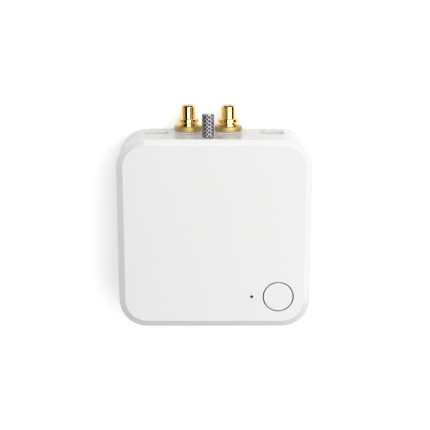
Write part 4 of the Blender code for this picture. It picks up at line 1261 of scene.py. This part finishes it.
@dataclass
class Indicator:
    """The lamp's window: the end of a light pipe in a pin hole beside the button."""

    hole: float = 0.9 * MM
    pipe: float = 1.5 * MM
    tip: float = 0.75 * MM
    tip_edge: float = 0.6 * MM
    collar: float = 2.6 * MM
    collar_depth: float = 1.0 * MM
    boss: float = 4.5 * MM
    steps: int = 48
    matrix: Matrix = field(init=False)

    def __post_init__(self) -> None:
        """Take the axis from the solid."""
        self.matrix = upright("light_pipe")

    def build(self, case: Case) -> None:
        """Make the pipe and dress the lamp.

        Args:
            case: Gives the pipe's shoulder and collar their heights.
        """
        low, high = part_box("light_pipe")
        shoulder = case.ceiling - FIT
        collar_top = shoulder - self.boss
        collar_low = collar_top - self.collar_depth
        pipe = Form.turned(rounded([
            (0, low.z, 0), (self.pipe, low.z, STACK), (self.pipe, collar_low, 0),
            (self.collar, collar_low, STACK), (self.collar, collar_top, STACK), (self.pipe, collar_top, 0),
            (self.pipe, shoulder, STACK), (self.tip, shoulder, STACK), (self.tip, high.z, self.tip_edge),
            (0, high.z, 0)]), self.steps)
        add_piece("indicator_pipe", pipe.placed(self.matrix), ACRYLIC, Body.CASE, ["light_pipe"])
        dress(NYLON, ["status_lamp"])


class Port:
    """What shows in a pocket of the connector wall."""

    pocket: Point

    def slot_cutter(self, low: float, high: float) -> Form:
        """The opening in the pocket's floor, between two values of Y."""
        raise NotImplementedError


@dataclass
class PowerInlet(Port):
    """The power inlet: a drawn shell with a rolled mouth round a tongue of contacts."""

    wall: float = 0.4 * MM
    radius: float = 1.5 * MM
    tongue_width: float = 6.6 * MM
    tongue_thickness: float = 0.7 * MM
    tongue_edge: float = 0.21 * MM
    block_depth: float = 1.4 * MM       # the block at the back that holds the tongue
    contacts: int = 12
    contact_size: Corner = (0.25 * MM, 3.4 * MM, 0.06 * MM)
    contact_edge: float = 0.015 * MM
    pitch: float = 0.5 * MM
    pocket: Point = field(init=False)

    def __post_init__(self) -> None:
        """Take the axis from the solid."""
        axis = middle("power_inlet_shell")
        self.pocket = (axis.x, axis.z)

    def mouth(self, grow: float) -> Corner:
        """Width, height and corner radius of the shell's outside, grown by a margin."""
        low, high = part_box("power_inlet_shell")
        return high.x - low.x + 2 * grow, high.z - low.z + 2 * grow, self.radius + grow

    def slot_cutter(self, low: float, high: float) -> Form:
        """The rounded slot that the shell stands in."""
        rings = [oblong(*self.mouth(FIT), level) for level in (low, high)]
        return Form.lofted(rings).placed(Facing.OUT.at((self.pocket[0], 0, self.pocket[1])))

    def build(self, copies: CopyRule) -> None:
        """Make the shell and its tongue.

        Args:
            copies: Sets the contacts.
        """
        low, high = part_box("power_inlet_shell")
        x, level = self.pocket
        turn = Facing.OUT.at((x, 0, level))
        path = rounded([
            (-2 * self.wall, low.y, 0), (0, low.y, self.wall), (0, high.y, self.wall / 3),
            (-self.wall, high.y, self.wall / 2), (-self.wall, low.y + self.wall, 0),
            (-2 * self.wall, low.y + self.wall, 0)])
        shell = Form.lofted([oblong(*self.mouth(grow), along) for grow, along in path])
        add_piece("inlet_shell", shell.placed(turn), SHEET_STEEL, Body.CASE, ["power_inlet_shell"])
        back, front = (corner.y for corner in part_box("power_inlet_tongue"))
        base = back + self.block_depth
        half = self.tongue_thickness / 2
        block = Form.lofted([oblong(*self.mouth(-self.wall - FIT), along) for along in (back, base)])
        nose = rounded([(0, base - ROOT, 0), (0, front, self.tongue_edge), (-half, front, 0)])[:-1]
        blade = Form.lofted([
            oblong(self.tongue_width + 2 * grow, 2 * (half + grow) + SLIVER, half + grow, along)
            for grow, along in nose])
        add_piece("inlet_tongue", block.carved(Cut.JOIN, [blade]).placed(turn), BLACK_NYLON, Body.CASE,
                  ["power_inlet_tongue"])
        strip = Form.strip(self.contact_size, self.contact_edge)
        centre = front - half - self.contact_size[1] / 2
        places = [(across, centre, level + side * half) for side in (-1, 1)
                  for across in spaced(x, self.pitch, self.contacts)]
        add_piece("inlet_contacts", copies.spread(strip, places, POLISHED_GOLD), POLISHED_GOLD, Body.CASE)


@dataclass
class Selector(Port):
    """The line and phono selector: a slide switch whose knob stands in the pocket."""

    half_slot: Point = (2.3 * MM, 1.05 * MM)
    slot_radius: float = 0.3 * MM
    knob: Point = (2.0 * MM, 1.5 * MM)
    knob_corner: float = 0.5 * MM
    saddle: Corner = (3.4 * MM, 2.4 * MM, 2.0 * MM)
    edge: float = 0.2 * MM
    ribs: int = 4
    rib: float = 0.16 * MM
    rib_corner: float = 0.0762 * MM
    rib_steps: int = 3
    pocket: Point = field(init=False)
    level: float = field(init=False)

    def __post_init__(self) -> None:
        """Take the middle of the switch from its solid, and the pocket's level from its twin."""
        switch = middle("selector_frame")
        self.pocket = (switch.x, middle("power_inlet_shell").z)
        self.level = switch.z

    def slot_cutter(self, low: float, high: float) -> Form:
        """The slot that the knob slides in.

        Args:
            low: Where the cutter starts, along Y.
            high: Where it ends.
        Returns:
            The cutter in place.
        """
        half_width, half_height = self.half_slot
        rings = [oblong(2 * half_width, 2 * half_height, self.slot_radius, along) for along in (low, high)]
        return Form.lofted(rings).placed(Facing.OUT.at((self.pocket[0], 0, self.level)))

    def build(self, copies: CopyRule) -> None:
        """Make the knob with its grip ribs and dress the frame.

        Args:
            copies: Sets the ribs.
        """
        low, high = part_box("selector_knob")
        x = middle("selector_knob").x
        width, height = self.knob
        saddle = Vector(self.saddle)
        shoulder = low.y + saddle.y
        top = high.y - self.rib / 2
        path = rounded([(0, shoulder - ROOT, 0), (0, top, self.edge), (-2 * self.edge, top, 0)])
        post = Form.lofted([oblong(width + 2 * grow, height + 2 * grow, self.knob_corner + grow, along)
                            for grow, along in path])
        base = Form.slab((-saddle.x / 2, -saddle.z / 2, low.y), (saddle.x / 2, saddle.z / 2, shoulder))
        turn = Facing.OUT.at((x, 0, self.level))
        add_piece("selector_slider", base.carved(Cut.JOIN, [post]).placed(turn), BLACK_NYLON, Body.SELECTOR,
                  ["selector_knob"])
        bar = Form.lofted([oblong(self.rib, height - 4 * self.edge, self.rib_corner, along, self.rib_steps)
                           for along in (-self.rib / 2, self.rib / 2)])
        pitch = (width - 4 * self.edge) / (self.ribs - 1)
        places = [(across, top, self.level) for across in spaced(x, pitch, self.ribs)]
        form = copies.spread(bar.placed(Facing.OUT.value), places, BLACK_NYLON)
        add_piece("selector_grip", form, BLACK_NYLON, Body.SELECTOR)
        dress(SHEET_STEEL, ["selector_frame"])


@dataclass
class Electronics:
    """The board and what is soldered to it, inside the case."""

    lead: Corner = (0.25 * MM, 0.9 * MM, 0.15 * MM)
    lead_edge: float = 0.03 * MM
    lead_pitch: float = 0.65 * MM
    lead_reach: float = 0.45            # how far a lead's middle stands off the chip, in lead lengths

    def leads(self, chip: str, copies: CopyRule) -> None:
        """Set a row of leads along two sides of a chip.

        Args:
            chip: Name of the chip's solid.
            copies: Sets the leads.
        """
        low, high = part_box(chip)
        _, length, thickness = self.lead
        count = int((high.x - low.x - self.lead_pitch) / self.lead_pitch)
        reach = self.lead_reach * length
        places = [(x, y, low.z + thickness / 2) for y in (low.y - reach, high.y + reach)
                  for x in spaced(middle(chip).x, self.lead_pitch, count)]
        strip = Form.strip(self.lead, self.lead_edge)
        add_piece(f"{chip}_leads", copies.spread(strip, places, TINNED_BRASS), TINNED_BRASS, Body.CASE)

    def build(self, copies: CopyRule) -> None:
        """Dress the board's pieces and give the chips their leads.

        Args:
            copies: Sets the leads.
        """
        dress(LAMINATE, ["main_board", "wireless_board"])
        dress(ZINC_STEEL, four("board_screw"))
        dress(SHEET_STEEL, ["wireless_shield", "clock_crystal"])
        dress(EPOXY, ["converter_chip", "preamp_chip", "regulator_chip", "power_inductor"])
        dress(ALUMINIUM, four("filter_capacitor"))
        for chip in ("converter_chip", "preamp_chip", "regulator_chip"):
            self.leads(chip, copies)


@dataclass(frozen=True)
class Panel:
    """An even panel of light, hidden from the camera."""

    name: str
    place: Corner
    aim: Corner
    size: Point
    radiance: float                     # how bright its face is, where 1 shows as white
    mirrored: bool = False              # it shows in mirrors; a fill does not

    def hang(self) -> None:
        """Put the panel in the scene."""
        lamp = bpy.data.lights.new(self.name, "AREA")
        lamp.shape = "RECTANGLE"
        lamp.size, lamp.size_y = self.size
        lamp.energy = self.radiance * pi * lamp.size * lamp.size_y
        holder = bpy.data.objects.new(self.name, lamp)
        holder.location = self.place
        way = Vector(self.aim) - Vector(self.place)
        holder.rotation_euler = way.to_track_quat("-Z", "Y").to_euler()
        holder.visible_camera = False
        holder.visible_glossy = self.mirrored
        bpy.context.scene.collection.objects.link(holder)


@dataclass
class Studio:
    """A pale sweep, a large softbox overhead, three fills and a camera at the photograph's place."""

    floor_radius: float = 1.6
    sweep: float = 1.2
    sweep_steps: int = 16
    drop: float = 0.02 * MM             # the floor lies just clear of the rubber pad
    floor_colour: str = "#E8E8E8"
    wall_colour: str = "#303030"
    glow_radius: Point = (0.3, 0.9)     # where near the object ends and far off begins
    seen_glow: Point = (0.44, 1.0)      # the sweep's own light for the eye, near the object and far off
    mirrored_glow: Point = (0.28, 0.0)  # the same for what is mirrored in the object
    card_colour: str = "#E2BE86"        # a warm card on the left, which only mirrors show
    card_glow: float = 0.8
    card_edges: Point = (-0.5, -1.0)
    card_half: Point = (0.7, 0.4)       # half its breadth along Y, and where it starts to fade
    card_middle: float = -0.3
    ambient: str = "#1A1A1A"
    panels: tuple[Panel, ...] = (
        Panel("softbox", (0.8075, 0.44, 1.40), (0.8075, 0.44, 0.0), (2.025, 2.32), 2.64, mirrored=True),
        Panel("back fill", (-0.60, 0.82, 0.27), (0.0, 0.0, 0.0), (1.3, 0.5), 1.7),
        Panel("right fill", (1.3, 0.75, 0.8), (0.0, 0.0, 0.0), (0.8, 0.8), 1.3),
        Panel("side fill", (0.26, -0.17, 0.14), (0.0, 0.0, 0.0), (0.12, 0.12), 2.2),
    )
    camera_place: Corner = (0.00027, 0.145814, 0.560)
    camera_tilt: float = radians(-14.336)
    camera_reach: Point = (0.01, 20.0)  # nearest and farthest that it sees
    sensor: float = 36.0
    lens: float = 80.92

    def sweep_material(self) -> bpy.types.Material:
        """White paper that is lit by the softbox and reads white to the eye.

        Returns:
            A diffuse material with some light of its own for what looks at it or mirrors it.
        """
        made = bpy.data.materials.new("white paper sweep")
        made.use_nodes = True
        tree = made.node_tree
        tree.nodes.clear()
        place = add_node(tree, "ShaderNodeTexCoord").outputs["Object"]
        far = add_node(tree, "ShaderNodeVectorMath", {0: place}, operation="LENGTH").outputs["Value"]
        x, y, _ = add_node(tree, "ShaderNodeSeparateXYZ", {0: place}).outputs
        aside = add_node(tree, "ShaderNodeMath", {0: y, 1: self.card_middle}, operation="SUBTRACT").outputs[0]
        off = add_node(tree, "ShaderNodeMath", {0: aside}, operation="ABSOLUTE").outputs[0]
        ray = add_node(tree, "ShaderNodeLightPath").outputs
        known = {name: ray[name] for name in ("Is Camera Ray", "Is Glossy Ray", "Is Transmission Ray")}
        for name, value, edges, ends in (
                ("seen glow", far, self.glow_radius, self.seen_glow),
                ("mirrored glow", far, self.glow_radius, self.mirrored_glow),
                ("fade", far, self.glow_radius, (0.0, 1.0)),
                ("across card", x, self.card_edges, (0.0, self.card_glow)),
                ("along card", off, self.card_half, (0.0, 1.0))):
            known[name] = add_node(tree, "ShaderNodeMapRange", {
                "Value": value, "From Min": edges[0], "From Max": edges[1],
                "To Min": ends[0], "To Max": ends[1]}, interpolation_type="SMOOTHSTEP").outputs[0]
        for name, operation, first, second in (
                ("seen", "MULTIPLY", "Is Camera Ray", "seen glow"),
                ("mirrors", "MAXIMUM", "Is Glossy Ray", "Is Transmission Ray"),
                ("mirrored", "MULTIPLY", "mirrors", "mirrored glow"),
                ("light", "ADD", "seen", "mirrored"),
                ("card", "MULTIPLY", "across card", "along card"),
                ("shown card", "MULTIPLY", "mirrors", "card")):
            known[name] = add_node(tree, "ShaderNodeMath", {0: known[first], 1: known[second]},
                                   operation=operation).outputs[0]
        light = add_node(tree, "ShaderNodeEmission", {"Strength": known["light"]})
        card = add_node(tree, "ShaderNodeEmission", {
            "Color": linear(self.card_colour), "Strength": known["shown card"]})
        tone = add_node(tree, "ShaderNodeMix", {
            0: known["fade"], 6: linear(self.floor_colour), 7: linear(self.wall_colour)}, data_type="RGBA")
        paper = add_node(tree, "ShaderNodeBsdfDiffuse", {"Color": tone.outputs[2]})
        both = add_node(tree, "ShaderNodeAddShader", {0: paper.outputs[0], 1: light.outputs[0]})
        every = add_node(tree, "ShaderNodeAddShader", {0: both.outputs[0], 1: card.outputs[0]})
        add_node(tree, "ShaderNodeOutputMaterial", {"Surface": every.outputs[0]})
        return made

    def build_sweep(self) -> None:
        """A round floor that curves up into a wall on every side."""
        edge = self.floor_radius + self.sweep
        path = rounded([(0, -self.drop, 0), (edge, -self.drop, self.sweep), (edge, 2 * self.sweep, 0)],
                       steps=self.sweep_steps)
        mesh = Form.turned(path, capped=False).to_mesh("sweep")
        mesh.shade_smooth()
        mesh.materials.append(self.sweep_material())
        add_object("sweep", mesh)

    def build_lights(self) -> None:
        """The softbox overhead, fills from behind, the right and the side, and a dim room."""
        for panel in self.panels:
            panel.hang()
        world = bpy.data.worlds.new("dim room")
        world.use_nodes = True
        world.node_tree.nodes["Background"].inputs["Color"].default_value = linear(self.ambient)
        bpy.context.scene.world = world

    def build_camera(self) -> None:
        """A camera above the front edge, looking down and a little towards the viewer."""
        lens = bpy.data.cameras.new("camera")
        lens.sensor_width = self.sensor
        lens.lens = self.lens
        lens.clip_start, lens.clip_end = self.camera_reach
        camera = bpy.data.objects.new("camera", lens)
        camera.location = self.camera_place
        camera.rotation_euler = (self.camera_tilt, 0, 0)
        bpy.context.scene.collection.objects.link(camera)
        bpy.context.scene.camera = camera

    def build(self) -> None:
        """Set up the whole studio."""
        bpy.context.scene.view_settings.view_transform = "Standard"
        self.build_sweep()
        self.build_lights()
        self.build_camera()


def main() -> None:
    """Build the studio and every sub-assembly."""
    logging.basicConfig(level=logging.INFO, format="%(message)s")
    Studio().build()
    knurl, copies = KnurlRule(), CopyRule()
    case, ground, button, lamp = Case(), GroundTerminal(), PushButton(), Indicator()
    jacks = [Jack("left_jack"), Jack("right_jack")]
    inlet, selector = PowerInlet(), Selector()
    case.build(jacks, ground, button, lamp, [inlet, selector])
    Base().build(case)
    for jack in jacks:
        jack.build(knurl)
    ground.build(knurl)
    button.build()
    lamp.build(case)
    inlet.build(copies)
    selector.build(copies)
    Electronics().build(copies)


if __name__ == "__main__":
    main()
